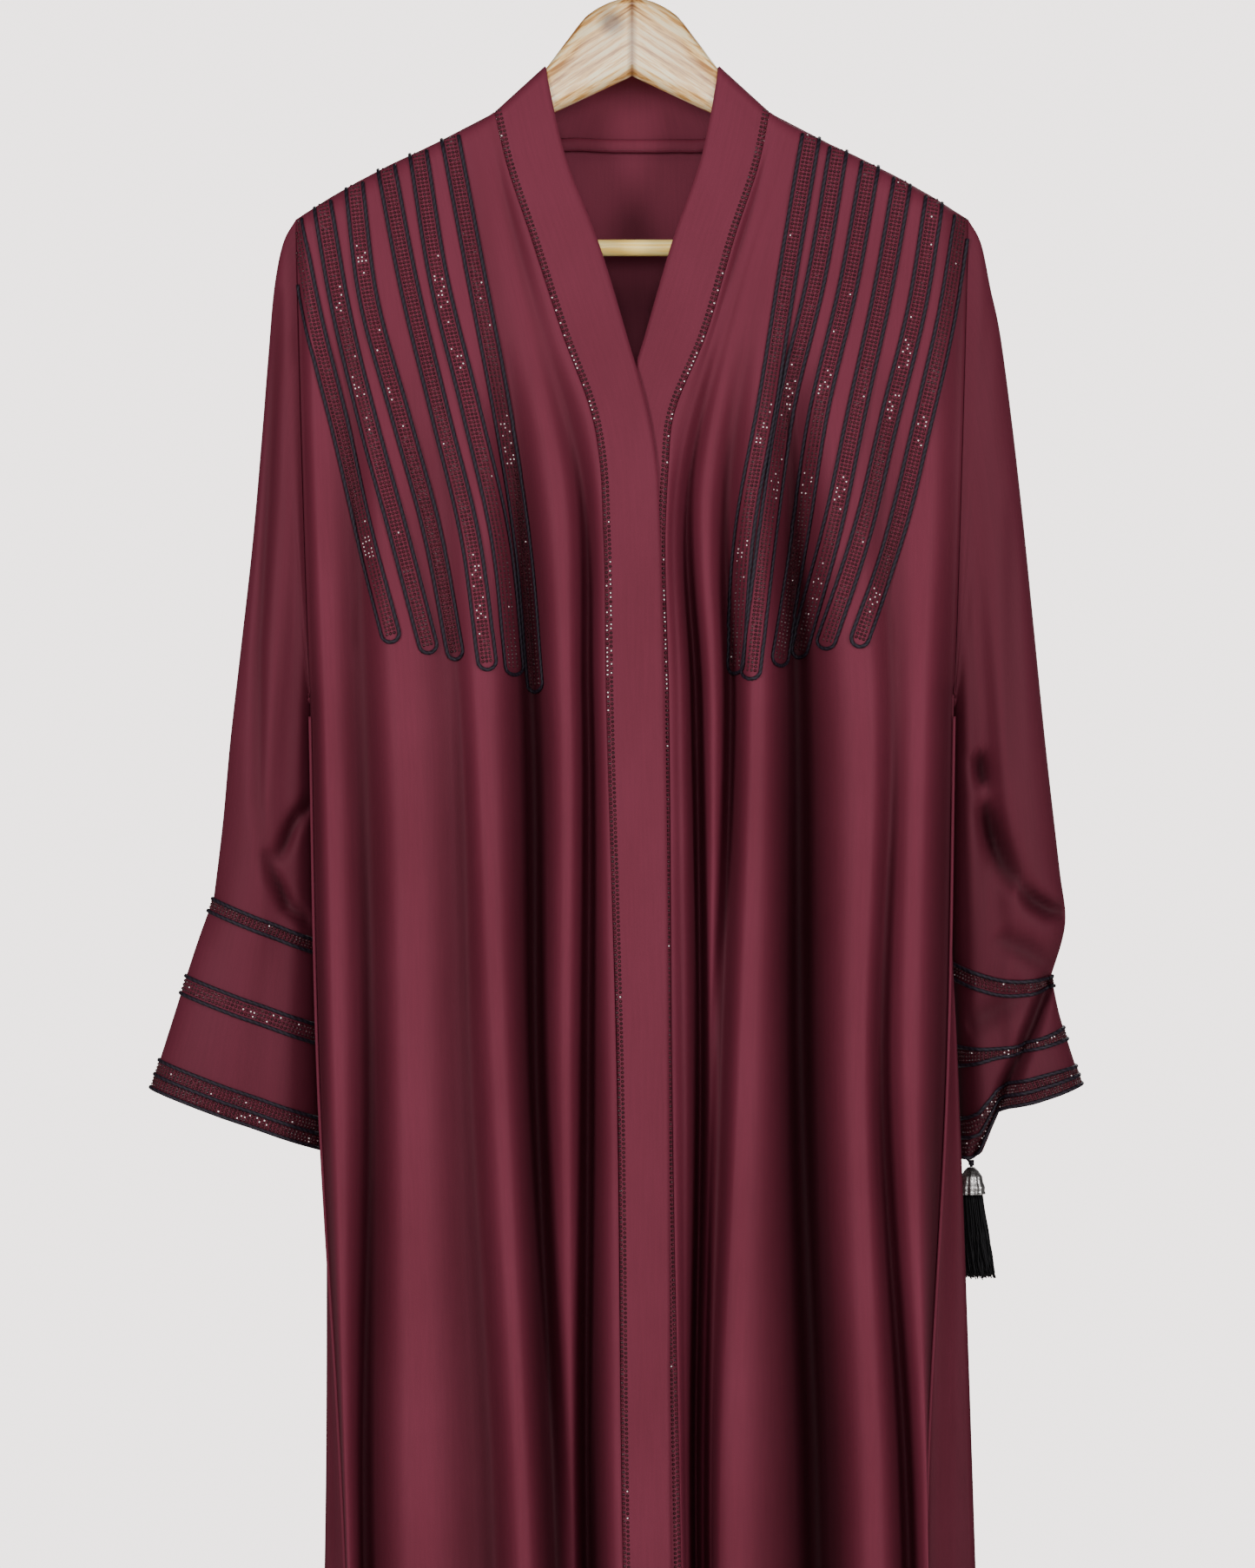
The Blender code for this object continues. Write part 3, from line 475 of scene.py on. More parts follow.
def woodMaterial():
    # clear-lacquered pale hardwood, planed: long streaks along each arm under a gloss coat
    look = {"Roughness": 0.36, "Coat Weight": 0.6, "Coat Roughness": 0.14}
    material, shader = newMaterial("lacqueredPaleHardwood", look)
    place = addNode(material, "ShaderNodeTexCoord")
    parts = addNode(material, "ShaderNodeSeparateXYZ", inputs={"Vector": (place, "Object")})
    away = addNode(material, "ShaderNodeMath", {"operation": "ABSOLUTE"}, {0: (parts, "X")})
    both = addNode(material, "ShaderNodeCombineXYZ", inputs={
        "X": (away, "Value"), "Y": (parts, "Y"), "Z": (parts, "Z")})
    # the grain falls at 33 degrees in both halves and meets at the centre joint, in streaks 1.5 mm wide
    turn = addNode(material, "ShaderNodeMapping", inputs={
        "Vector": (both, "Vector"), "Rotation": (0.0, -0.58, 0.0)})
    turned = addNode(material, "ShaderNodeMapping", inputs={
        "Vector": (turn, "Vector"), "Scale": (26.0, 300.0, 400.0)})
    streak = addNode(material, "ShaderNodeTexNoise", inputs={
        "Vector": (turned, "Vector"), "Scale": 1.0, "Detail": 5.0, "Roughness": 0.62})
    broad = addNode(material, "ShaderNodeMapping", inputs={
        "Vector": (turn, "Vector"), "Scale": (9.0, 60.0, 70.0)})
    patch = addNode(material, "ShaderNodeTexNoise", inputs={
        "Vector": (broad, "Vector"), "Scale": 1.0, "Detail": 2.0})
    fine = addNode(material, "ShaderNodeValToRGB", inputs={"Fac": (streak, "Fac")},
                   stops=((0.38, "#ad763a"), (0.5, "#f4c884"), (0.6, "#fff2cc")))
    wide = addNode(material, "ShaderNodeValToRGB", inputs={"Fac": (patch, "Fac")},
                   stops=((0.35, "#d9c3a4"), (0.65, "#fff8ea")))
    mix = addNode(material, "ShaderNodeMix", multiply,
                  {"Factor": 0.8, 6: (fine, "Color"), 7: (wide, "Color")})
    # a grey knot 14 mm across beside the joint, and the joint itself as a dark line 0.7 mm wide
    knotAway = addNode(material, "ShaderNodeVectorMath", {"operation": "DISTANCE"},
                       {0: (place, "Object"), 1: (-0.0135, -0.008, -0.087)})
    knot = addNode(material, "ShaderNodeValToRGB", inputs={"Fac": (knotAway, "Value")},
                   stops=((0.004, "#958d92"), (0.0115, "#ffffff")))
    joint = addNode(material, "ShaderNodeValToRGB", inputs={"Fac": (away, "Value")},
                    stops=((0.0003, "#8f7454"), (0.0008, "#ffffff")))
    marks = addNode(material, "ShaderNodeMix", multiply,
                    {"Factor": 1.0, 6: (knot, "Color"), 7: (joint, "Color")})
    marked = addNode(material, "ShaderNodeMix", multiply,
                     {"Factor": 1.0, 6: (mix, 2), 7: (marks, 2)})
    link(material, marked, 2, shader, "Base Color")
    bump = addNode(material, "ShaderNodeBump", inputs={
        "Height": (streak, "Fac"), "Strength": 0.35, "Distance": 0.0005})
    link(material, bump, "Normal", shader, "Normal")
    return material


def streakedMaterial(name, look, stretch, noise, stops):
    # a plain material whose colour follows one noise, read over the object stretched along its axes
    material, shader = newMaterial(name, look)
    place = addNode(material, "ShaderNodeTexCoord")
    drawn = addNode(material, "ShaderNodeMapping", inputs={
        "Vector": (place, "Object"), "Scale": stretch})
    streak = addNode(material, "ShaderNodeTexNoise", inputs={"Vector": (drawn, "Vector"), **noise})
    colour = addNode(material, "ShaderNodeValToRGB", inputs={"Fac": (streak, "Fac")}, stops=stops)
    link(material, colour, "Color", shader, "Base Color")
    return material


crepe = crepeMaterial()
cordThread = cordMaterial()
stone = stoneMaterial()
wood = woodMaterial()
even = (1.0, 1.0, 1.0)
# polyester sewing thread, a little brighter and shinier than the cloth
maroonThread = streakedMaterial(
    "polyesterThreadMaroon", {"Roughness": 0.45, "Sheen Weight": 0.2}, even,
    {"Scale": 900.0, "Detail": 1.0}, ((0.35, "#54182a"), (0.65, "#6a2434")))
# waxed yellow pine, its fine streaks along x
dowelWood = streakedMaterial(
    "waxedPineDowel", {"Roughness": 0.42, "Coat Weight": 0.3}, (30.0, 500.0, 500.0),
    {"Scale": 1.0, "Detail": 4.0}, ((0.3, "#ffcf60"), (0.7, "#ffeaa0")))
# drawn wire with faint darker scuffs, and cast silver mottled dark and pale in a fine noise
steel = streakedMaterial("platedSteelWire", {"Metallic": 1.0, "Roughness": 0.25}, even,
                         {"Scale": 300.0, "Detail": 3.0}, ((0.35, "#8f8f94"), (0.6, "#c9c9cc")))
silver = streakedMaterial("castFiligreeSilver", {"Metallic": 1.0, "Roughness": 0.36}, even,
                          {"Scale": 1500.0, "Detail": 3.0}, ((0.35, "#4e4b4a"), (0.6, "#c6c3c1")))
# black viscose floss with fine lengthwise streaks
floss = streakedMaterial(
    "viscoseFlossBlack", {"Roughness": 0.6, "Specular IOR Level": 0.2}, (2200.0, 2200.0, 40.0),
    {"Scale": 1.0}, ((0.3, "#040304"), (0.7, "#0f0d11")))
print("materials made")


# the panels of the body

def frontGrid(cut, band):
    # from the side edge to the band's seam, or the other way on the wearer's left
    side = np.sign(cut["side"]["x"][0])
    edge, seamLine = sideLine(cut["side"], -1), bandLines(band, 0.0)[0]
    folds = [foldLine(fold, -1, baseY=-body["seamGap"] / 2) for fold in cut["folds"]]
    lines = [edge] + folds + [seamLine] if side < 0 else [seamLine] + folds + [edge]
    return between(lines, body["stepsPerFold"])


def makeFronts():
    grids = {}
    for name, node, cut, band, seed in (
            ("frontRightCloth", "front_right", frontRightCut, bandRightCut, 3),
            ("frontLeftCloth", "front_left", frontLeftCut, bandLeftCut, 4)):
        grid = softWaves(deepened(frontGrid(cut, band), cut["folds"], cut["deeper"]), 0.9, seed)
        grids[node] = grid
        clothPiece(name, grid, node, (0, -1, 0), shade=openness(grid))
    return grids


def makeBands():
    grids = {}
    for name, node, band in (("neckbandRightCloth", "neckband_right", bandRightCut),
                             ("neckbandLeftCloth", "neckband_left", bandLeftCut)):
        seamLine, freeLine = bandLines(band, body["seamGap"])
        grid = between([seamLine, freeLine], 12)
        # a folded edge rounds away at both sides of the band, and its middle crowns by 1 mm
        share = np.linspace(0, 1, grid.shape[1])
        grid[len(archAngles):, :, 1] -= 1 - (2 * share - 1) ** 8 - 0.4
        if band["seamX"][0] > 0:
            grid = grid[:, ::-1]
        grids[node] = grid
        clothPiece(name, grid, node, (0, -1, 0), wall=body["doubleWall"])
    return grids


def collarEdge(share, x, y, drop):
    # half an oval round the back of the neck: x is -cos^0.5, y is sin^0.8, and z dips by sin
    angle = pi * share
    across = np.sign(np.cos(angle)) * np.abs(np.cos(angle)) ** 0.5
    z = shoulderZ(x) - drop * np.sin(angle)
    return np.stack([-x * across, body["seamGap"] / 2 + y * np.sin(angle) ** 0.8, z + 0 * angle], axis=-1)


def makeCollar():
    share = (1 - np.cos(pi * np.linspace(0, 1, 61))) / 2
    gap = body["seamGap"]
    low = collarEdge(share, body["neckX"] - gap, body["collarBackY"], body["collarDrop"])
    high = collarEdge(share, body["collarX"] - gap, body["collarBackY"], body["collarTopDrop"])
    t = np.linspace(0, 1, 10)[:, None, None]
    grid = low + (high - low) * t
    # the collar's middle bows back a little as it stands
    grid[..., 1] += body["collarBow"] * np.sin(pi * t[..., 0]) * np.sin(pi * share)
    clothPiece("collarBackCloth", grid, "collar_back", grid - [0, -40, -140],
               wall=body["doubleWall"])


def neckEdge(x):
    across = -x / (body["neckX"] - body["seamGap"])
    share = np.arccos(np.sign(across) * np.abs(across) ** 2) / pi
    edge = collarEdge(share, body["neckX"] - body["seamGap"], body["collarBackY"], body["collarDrop"])
    return edge - np.array([0, 0, 4 * body["seamGap"]])


def makeBack():
    lines = [sideLine(frontRightCut["side"], 1)]
    for fold in backCut:
        base, drop = body["seamGap"] / 2, 0.0
        if abs(fold[1]) < body["neckX"]:
            neck = neckEdge(np.float64(fold[1]))
            base, drop = neck[1], shoulderZ(fold[1]) - neck[2]
        lines.append(foldLine(fold, 1, baseY=base, drop=drop))
    lines.append(sideLine(frontLeftCut["side"], 1))
    for line in lines:
        line[:, 1] *= -1
    grid = between(lines, 7)
    grid[..., 1] *= -1
    foot = len(archAngles) - 1
    inNeck = np.abs(grid[0, :, 0]) < body["neckX"] - body["seamGap"]
    start, end = neckEdge(grid[0, inNeck, 0]), grid[foot, inNeck].copy()
    turn = np.stack([1 - np.cos(archAngles), np.sin(archAngles), 1 - np.cos(archAngles)], axis=1)
    grid[:foot + 1, inNeck] = start + (end - start) * turn[:, None, :]
    flipped = grid * [1, -1, 1]
    clothPiece("backCloth", grid, "back", (0, 1, 0), shade=openness(flipped, 6, 22.0))


frontGrids = makeFronts()
bandGrids = makeBands()
makeCollar()
makeBack()
print("body panels made")


# sleeves and cuffs: rings from the armhole to the hem, each a flat oval between two ends

ringColumns = ("outerX", "outerZ", "innerX", "innerZ", "midY", "halfDepth", "fold", "bow")
sleeveRightCut = {"side": -1, "seamAt": 10, "tuck": 9.0, "hemLine": ((0, 1), (0, 1)),
                  # tone is painted shade by height: the sleeve's colour darkens towards the cuff
                  "tone": ((-850, -600, -300, -100), (0.54, 0.58, 0.66, 0.95)), "rings": (
    (222.3, -216, 213.3, -531, 0, 10, 0, 0), (231, -232, 213.6, -534, 1, 13, 0, 0),
    (237, -262, 212.8, -538, 3, 15, 1, 0), (241, -306, 211.8, -544, 5, 17, 2, 0),
    (246, -366, 210.6, -552, 8, 19, 3, 0), (252, -432, 209.8, -564, 10, 20, 4, 0),
    (260, -502, 209.0, -582, 12, 21, 5, 0), (267, -562, 208.2, -612, 14, 22, 5, 0),
    (272, -616, 207.6, -652, 15, 22, 5, 0), (278, -665, 207.0, -694, 16, 22, 5, 0),
    (278.2, -665.5, 207.0, -694.5, 16, 22, 5, 0), (290, -698, 206.2, -730, 17, 24, 5, 0),
    (305, -745, 205.4, -782, 17, 26, 4, 0), (320, -792, 204.6, -834, 18, 28, 4, 0)),
    "creases": (
        {"line": ((-234, -260), (-240, -400), (-246, -500), (-247, -600), (-241, -640)), "width": 4.5,
         "depth": 6.0},
        {"line": ((-208, -596), (-222, -612), (-236, -642)), "width": 4.5, "depth": 8.0},
        {"line": ((-243, -632), (-238, -650), (-228, -670), (-207, -688)), "width": 4.5, "depth": 9.0},
        {"line": ((-262, -560), (-268, -640), (-284, -700)), "width": 9, "depth": 1.4})}
sleeveLeftCut = {"side": 1, "seamAt": 11, "tuck": 9.0, "rings": (
    (222.3, -216, 213.3, -531, 0, 10, 0, 0), (231, -232, 213.6, -534, 1, 13, 0, 0),
    (237.5, -262, 213.2, -538, 3, 15, 1, 0), (244, -292, 212.6, -543, 5, 17, 2, 0),
    (252, -350, 211.8, -550, 8, 19, 4, 0), (259.5, -415, 211, -560, 10, 21, 6, 0),
    (267, -488, 210.4, -576, 12, 23, 8, 0), (275, -566, 209.8, -602, 14, 24, 10, 0),
    (284, -645, 209.4, -650, 15, 24, 9, -2), (288, -682, 210, -684, 16, 23, 6, -4),
    (279, -716, 212, -706, 16, 20, 4, -7),
    (278.8, -716.6, 212, -706.6, 16, 20, 4, -7), (284, -742, 215, -748, 17, 23, 5, -10),
    (292, -768, 217, -794, 17, 25, 6, 3), (299, -789, 218, -839, 18, 27, 6, 0)),
    # tone is painted shade by height: the sleeve's colour darkens towards the cuff
    "tone": ((-850, -660, -480, -300, -100), (0.26, 0.4, 0.46, 0.55, 0.9)),
    # the outer flap's hem runs nearly level to the fold, then drops to the corner with the tassel
    "hemLine": ((0, 0.2, 0.4, 0.6, 0.69, 0.76, 0.84, 0.92, 1),
                (0, 0.12, 0.22, 0.3, 0.36, 0.62, 0.94, 1.0, 0.99)),
    "creases": (
        {"line": ((250, -400), (251, -500), (252, -590)), "width": 6, "depth": 2.2},
        {"line": ((229, -568), (231, -580), (234, -592)), "width": 6, "depth": 9.0},
        {"line": ((234, -602), (240, -624), (248, -646), (256, -660)), "width": 7, "depth": 15.0},
        {"line": ((256, -657), (266, -667), (276, -673), (289, -676)), "width": 6, "depth": 13.0},
        {"line": ((240, -690), (262, -700), (280, -712)), "width": 8, "depth": 7.0},
        {"line": ((276, -722), (266, -748), (254, -776), (242, -806), (228, -838)), "width": 5,
         "depth": 13.0, "fade": False},
        {"line": ((262, -726), (240, -740), (222, -752)), "width": 9, "depth": 5.0})}


def sleeveGrid(cut, at, points):
    # ring table read between its rows, then for the turn a: along = (1 - cos a) / 2 from the outer
    # end to the inner, z bows by 4 * bow * along * (1 - along) and takes on the hem's own line near
    # the hem, y = mid - halfDepth * sin a with the inner end tucked back behind the body, and one
    # long fold pressed into the front
    table = {name: curveThrough(np.arange(len(cut["rings"])), [ring[i] for ring in cut["rings"]], at)
             for i, name in enumerate(ringColumns)}
    table = {name: values[:, None] for name, values in table.items()}
    angle = 2 * pi * np.arange(points) / points
    share = (1 - np.cos(angle)) / 2
    x = table["outerX"] + (table["innerX"] - table["outerX"]) * share
    flap = np.interp(share, *cut["hemLine"]) - share
    nearHem = np.clip(at[:, None] - len(cut["rings"]) + 2.6, 0, 1.6) / 1.6
    fall = share + flap * nearHem
    z = table["outerZ"] + (table["innerZ"] - table["outerZ"]) * fall
    z = z + 4 * table["bow"] * share * (1 - share)
    dent = np.cos(np.clip((share - 0.62) / 0.2, -1, 1) * pi / 2) ** 2
    front = np.clip(np.sin(angle) * 3, 0, 1)
    tuck = cut["tuck"] * share ** 3 * np.clip(at[:, None] / 5, 0, 1)
    y = table["midY"] - table["halfDepth"] * np.sin(angle) + table["fold"] * dent * front + tuck
    grid = np.stack([cut["side"] * x, y, z], axis=-1)
    troughs = creased(grid, cut["creases"])
    pressed = (troughs[..., 1] - grid[..., 1]) * front * np.clip((1 - share) / 0.12, 0, 1)
    grid[..., 1] += pressed
    # painted shade: the colour darkens with the depth of a crease, towards the body, and by the
    # sleeve's tone at that height, a table of painted shade by height
    shade = np.exp(-pressed / 9.0) * (1 - 0.75 * front * share ** 8)
    return grid, shade * np.interp(grid[..., 2], *cut["tone"])


def makeSleeve(cut, *pieces):
    # the sleeve down to its seam, then the flared cuff below it
    seam = cut["seamAt"]
    down = np.concatenate([np.linspace(0, 2, 20)[:-1], np.linspace(2, seam - 1, 80), [seam]])
    spans = (down, np.linspace(seam, len(cut["rings"]) - 1, 52))
    for at, (name, node, sheetFacts) in zip(spans, pieces):
        grid, shade = sleeveGrid(cut, at, 96)
        clothPiece(name, grid, node, grid - grid.mean(axis=1, keepdims=True), True,
                   shade=shade)


sleeveRightSheet = {"flat": (0.15, 0.36), "held": "hung", "rests_on": ["hanger_arms"]}
sleeveLeftSheet = {"flat": (0.17, 0.36), "held": "hung", "rests_on": ["hanger_arms"]}
cuffRightSheet = {"flat": (0.24, 0.14), "held": "hung", "rests_on": ["hanger_arms"]}
cuffLeftSheet = {"flat": (0.19, 0.12), "held": "hung", "rests_on": ["hanger_arms"]}
makeSleeve(sleeveRightCut, ("sleeveRightCloth", "sleeve_right", sleeveRightSheet),
           ("cuffRightCloth", "cuff_right", cuffRightSheet))
makeSleeve(sleeveLeftCut, ("sleeveLeftCloth", "sleeve_left", sleeveLeftSheet),
           ("cuffLeftCloth", "cuff_left", cuffLeftSheet))
print("sleeves made")


# cords, stones and small parts

stripes = {
    # each stripe's middle line: x at five even steps down, then the height of its round end
    "right": ((-223, -209, -192, -176, -158, -497), (-204, -191, -173, -153, -134, -504),
              (-183, -173, -152, -131, -116, -508), (-162, -146, -126, -106, -95, -515),
              (-141, -127, -106, -87, -78, -518), (-120, -103, -86, -72, -64, -529)),
    "left": ((218, 206, 190, 173, 149, -500), (199, 187, 169, 151, 128, -501),
             (178, 164, 147, 131, 111, -506), (157, 142, 123, 111, 97, -512),
             (136, 121, 101, 88, 78, -521), (118, 103, 89, 74, 68, -517)),
    "cordApart": 11.4, "cordWidth": 2.5, "cordHeight": 1.9}
stones = {"width": 2.25, "height": 0.9, "pitch": 2.6, "rowsApart": 2.45, "sides": 6,
          "bandPitch": 2.9, "bandRows": (1.4, 3.8)}
# places in the sleeves' ring tables that carry cords, and the pairs of cords with stones between them
sleeveCordsAt = {"right": (10.03, 10.35, 11.43, 11.66, 12.60, 12.80, 12.985),
                 "left": (11.06, 11.36, 12.36, 12.64, 13.42, 13.70, 13.985)}
trackPairs = ((0, 1), (2, 3), (4, 5), (5, 6))


def surfaceOf(grids):
    # one search tree over several open grids, in millimetres
    points, faces, first = [], [], 0
    for grid in grids:
        rows, columns = grid.shape[:2]
        points.append(grid.reshape(-1, 3))
        faces.append(gridFaces(rows, columns) + first)
        first += rows * columns
    return BVHTree.FromPolygons(np.concatenate(points).tolist(), np.concatenate(faces).tolist())


def placeOn(tree, line):
    # the nearest surface met along Y from the front, and the way it faces, for each x and z
    hits = [tree.ray_cast(Vector((x, -200, z)), Vector((0, 1, 0))) for x, z in line]
    points = np.array([hit[0] for hit in hits if hit[0] is not None])
    normals = np.array([hit[1] for hit in hits if hit[0] is not None])
    return points, normals * np.sign(1e-9 - normals[:, 1])[:, None]


def evenly(path, step):
    # the same line with its points a step apart
    lengths = np.concatenate([[0], np.cumsum(np.linalg.norm(np.diff(path, axis=0), axis=1))])
    at = np.linspace(0, lengths[-1], max(int(lengths[-1] / step) + 1, 3))
    return np.stack([np.interp(at, lengths, path[:, i]) for i in range(path.shape[1])], axis=1)


def tube(points, normals, width, height, sides=8, closed=False, lift=0.5):
    # a swept oval: point + width/2 * cos(a) * side + height * (lift + sin(a)/2) * normal
    # normals is one direction for each point, or one for all
    points = np.asarray(points, float)
    normals = np.broadcast_to(np.asarray(normals, float), points.shape)
    if closed:
        run = np.roll(points, -1, axis=0) - np.roll(points, 1, axis=0)
    else:
        run = np.gradient(points, axis=0)
    side = unit(np.cross(run, normals))
    up = unit(np.cross(side, run))
    angle = -pi / 2 + 2 * pi * np.arange(sides) / sides
    ring = (points[:, None] + width / 2 * np.cos(angle)[None, :, None] * side[:, None]
            + height * (lift + np.sin(angle)[None, :, None] / 2) * up[:, None])
    along = np.concatenate([[0], np.cumsum(np.linalg.norm(np.diff(ring[:, 0], axis=0), axis=1))])
    girth = pi * width * np.arange(sides) / sides
    uv = np.stack(np.meshgrid(along, girth, indexing="ij"), axis=-1)
    if closed:
        faces = (gridFaces(len(ring) + 1, sides, True, True) % (len(ring) * sides)).tolist()
    else:
        last = (len(ring) - 1) * sides
        faces = gridFaces(len(ring), sides, True, True).tolist()
        faces += [list(range(sides)), [last + i for i in reversed(range(sides))]]
    return ring.reshape(-1, 3), faces, uv.reshape(-1, 2)


def joinedPiece(name, parts, material, replacing=(), shade=None):
    # several (points, faces, uv) parts as one piece
    points, faces, uv, first = [], [], [], 0
    for part in parts:
        points.append(part[0])
        faces += [[corner + first for corner in face] for face in part[1]]
        uv.append(part[2])
        first += len(part[0])
    values = None if shade is None else np.full(first, shade)
    meshPiece(name, np.concatenate(points), faces, material, replacing, np.concatenate(uv), values)


def gems(centres, normals, seed, glintAt):
    # a dark setting of radius 1 at the cloth, then a stone of 0.66 at half its height and its flat
    # table of 0.36 at the top; shade is 0 on the setting and the stone's own tint above it, where a
    # tint of 1 is a painted white glint
    rng = np.random.default_rng(seed)
    count, sides = len(centres), stones["sides"]
    tilt = unit(normals + rng.normal(0, 0.10, (count, 3)))
    first = unit(np.cross(tilt, rng.normal(0, 1, (count, 3))))
    second = np.cross(tilt, first)
    angle = 2 * pi * np.arange(sides) / sides
    radius = np.repeat([1.0, 0.66, 0.36], sides) * stones["width"] / 2
    rise = np.repeat([0.12, 0.5, 0.95], sides) * stones["height"]
    turn = np.tile(angle, 3)
    points = (centres[:, None] + (radius * np.cos(turn))[None, :, None] * first[:, None]
              + (radius * np.sin(turn))[None, :, None] * second[:, None]
              + rise[None, :, None] * tilt[:, None])
    ring = gridFaces(3, sides, True)
    quads = (ring[None] + np.arange(count)[:, None, None] * 3 * sides).reshape(-1, 4).tolist()
    ends = np.stack([2 * sides + np.arange(sides), np.arange(sides)[::-1]])
    tables = (ends[None] + np.arange(count)[:, None, None] * 3 * sides).reshape(-1, sides).tolist()
    tintAndGlint = rng.uniform(0.35, 0.7, count)
    # stones picked by glintAt get a tint of 1, a painted white glint
    tintAndGlint = np.where(rng.uniform(0, 1, count) < glintAt, 1.0, tintAndGlint)
    part = np.repeat([0.0, 0.8, 1.0], sides)
    return points.reshape(-1, 3), quads + tables, (tintAndGlint[:, None] * part).ravel()


def stonePiece(name, rows, seed):
    # rows are (centres, normals, chance of a painted glint), and every facet is flat
    centres, normals, glintAt = (np.concatenate(part) for part in zip(*rows))
    points, faces, tintAndGlint = gems(centres, normals, seed, glintAt)
    piece = meshPiece(name, points, faces, stone, values=tintAndGlint)
    piece.data.polygons.foreach_set("use_smooth", np.zeros(len(piece.data.polygons), bool))


def glintClusters(count, seed, share):
    # the chance of a painted glint at each place along a row: high inside two short stretches, low
    # elsewhere
    rng = np.random.default_rng(seed)
    at = np.linspace(0, 1, count)
    chance = np.full(len(at), 0.006)
    for middle in rng.uniform(0.05, 0.95, 2):
        chance += 1.5 * share * np.exp(-((at - middle) / 0.03) ** 2)
    return chance


def stripeLine(row):
    # the stripe's middle line from the shoulder seam down to the middle of its round end
    endZ = row[5] + stripes["cordApart"] / 2
    topZ = shoulderZ(row[0]) - 2.2
    down = np.linspace(0, 1, 60)
    return np.stack([curveThrough(np.arange(5), row[:5], 4 * down), topZ + (endZ - topZ) * down], axis=1)


def besideLine(line, away):
    # the line moved sideways in the x-z plane
    run = unit(np.gradient(line, axis=0))
    return line + away * np.stack([run[:, 1], -run[:, 0]], axis=1)


def shoulderStripes(tree):
    cords, rows = [], []
    half = stripes["cordApart"] / 2
    for side in ("right", "left"):
        for number, row in enumerate(stripes[side]):
            line = stripeLine(row)
            ending = line[-1] - line[-2]
            heading = np.arctan2(ending[1], ending[0])
            turn = np.linspace(-pi / 2, pi / 2, 14)[1:-1]
            # the two cords are one: down one side, round the end in half a circle, and up again
            bend = line[-1] + half * np.stack([np.cos(heading + turn), np.sin(heading + turn)], axis=1)
            loop = np.concatenate([besideLine(line, half), bend, besideLine(line, -half)[::-1]])
            cords.append(tube(*placeOn(tree, evenly(loop, 2.2)), stripes["cordWidth"],
                              stripes["cordHeight"], lift=0.42))
            for rowOfStones in (-1, 0, 1):
                beads = evenly(besideLine(line, rowOfStones * stones["rowsApart"]), stones["pitch"])
                points, facing = placeOn(tree, beads)
                rows.append((points, facing, glintClusters(len(points), 31 * number + len(side), 0.22)))
    joinedPiece("shoulderCords", cords, cordThread)
    stonePiece("shoulderStones", rows, 11)


def bandStones(trees):
    rows = []
    for tree, band in zip(trees, (bandRightCut, bandLeftCut)):
        line = bandLines(band, 0.0)[0][2:]
        side = np.sign(band["seamX"][0])
        for number, inset in enumerate(stones["bandRows"]):
            flat = evenly(besideLine(line[:, [0, 2]], inset * side), stones["bandPitch"])
            points, facing = placeOn(tree, flat)
            rows.append((points, facing, glintClusters(len(points), 7 * number + 3, 0.4)))
    stonePiece("neckbandStones", rows, 12)


def ringOn(cut, at, count):
    # one closed ring of a sleeve at a place in its table, and the ring's outward directions
    near, _ = sleeveGrid(cut, np.array([at - 0.02, at, at + 0.02]), count)
    outward = gridNormals(near, True)[1]
    outward *= np.sign((outward * (near[1] - near[1].mean(axis=0))).sum())
    return near[1], outward


def sleeveCordsAndStones():
    cords, rows = [], []
    for side, cut in (("right", sleeveRightCut), ("left", sleeveLeftCut)):
        places = sleeveCordsAt[side]
        cords += [tube(*ringOn(cut, at, 120), stripes["cordWidth"], stripes["cordHeight"],
                       closed=True, lift=0.42) for at in places]
        for number, (first, second) in enumerate(trackPairs):
            start, end = places[first], places[second]
            for share in (0.27, 0.5, 0.73):
                points, outward = ringOn(cut, start + (end - start) * share, 240)
                both = evenly(np.concatenate([points, outward], axis=1), stones["pitch"])
                bright = 0.02 + glintClusters(len(both), 5 * number + len(side), 0.2)
                rows.append((both[:, :3], both[:, 3:], bright))
    joinedPiece("sleeveCords", cords, cordThread)
    stonePiece("sleeveStones", rows, 13)


shoulderStripes(surfaceOf([frontGrids["front_right"], frontGrids["front_left"]]))
bandStones([surfaceOf([bandGrids["neckband_right"]]), surfaceOf([bandGrids["neckband_left"]])])
sleeveCordsAndStones()
print("cords and stones made")


# the hanger

hanger = {"barZ": -235.0, "barRadius": 5.5, "barHalf": 184.0, "hookWire": 2.0, "hookRadius": 23.0,
          "hookFootZ": -71.7, "sides": 40, "places": 121}


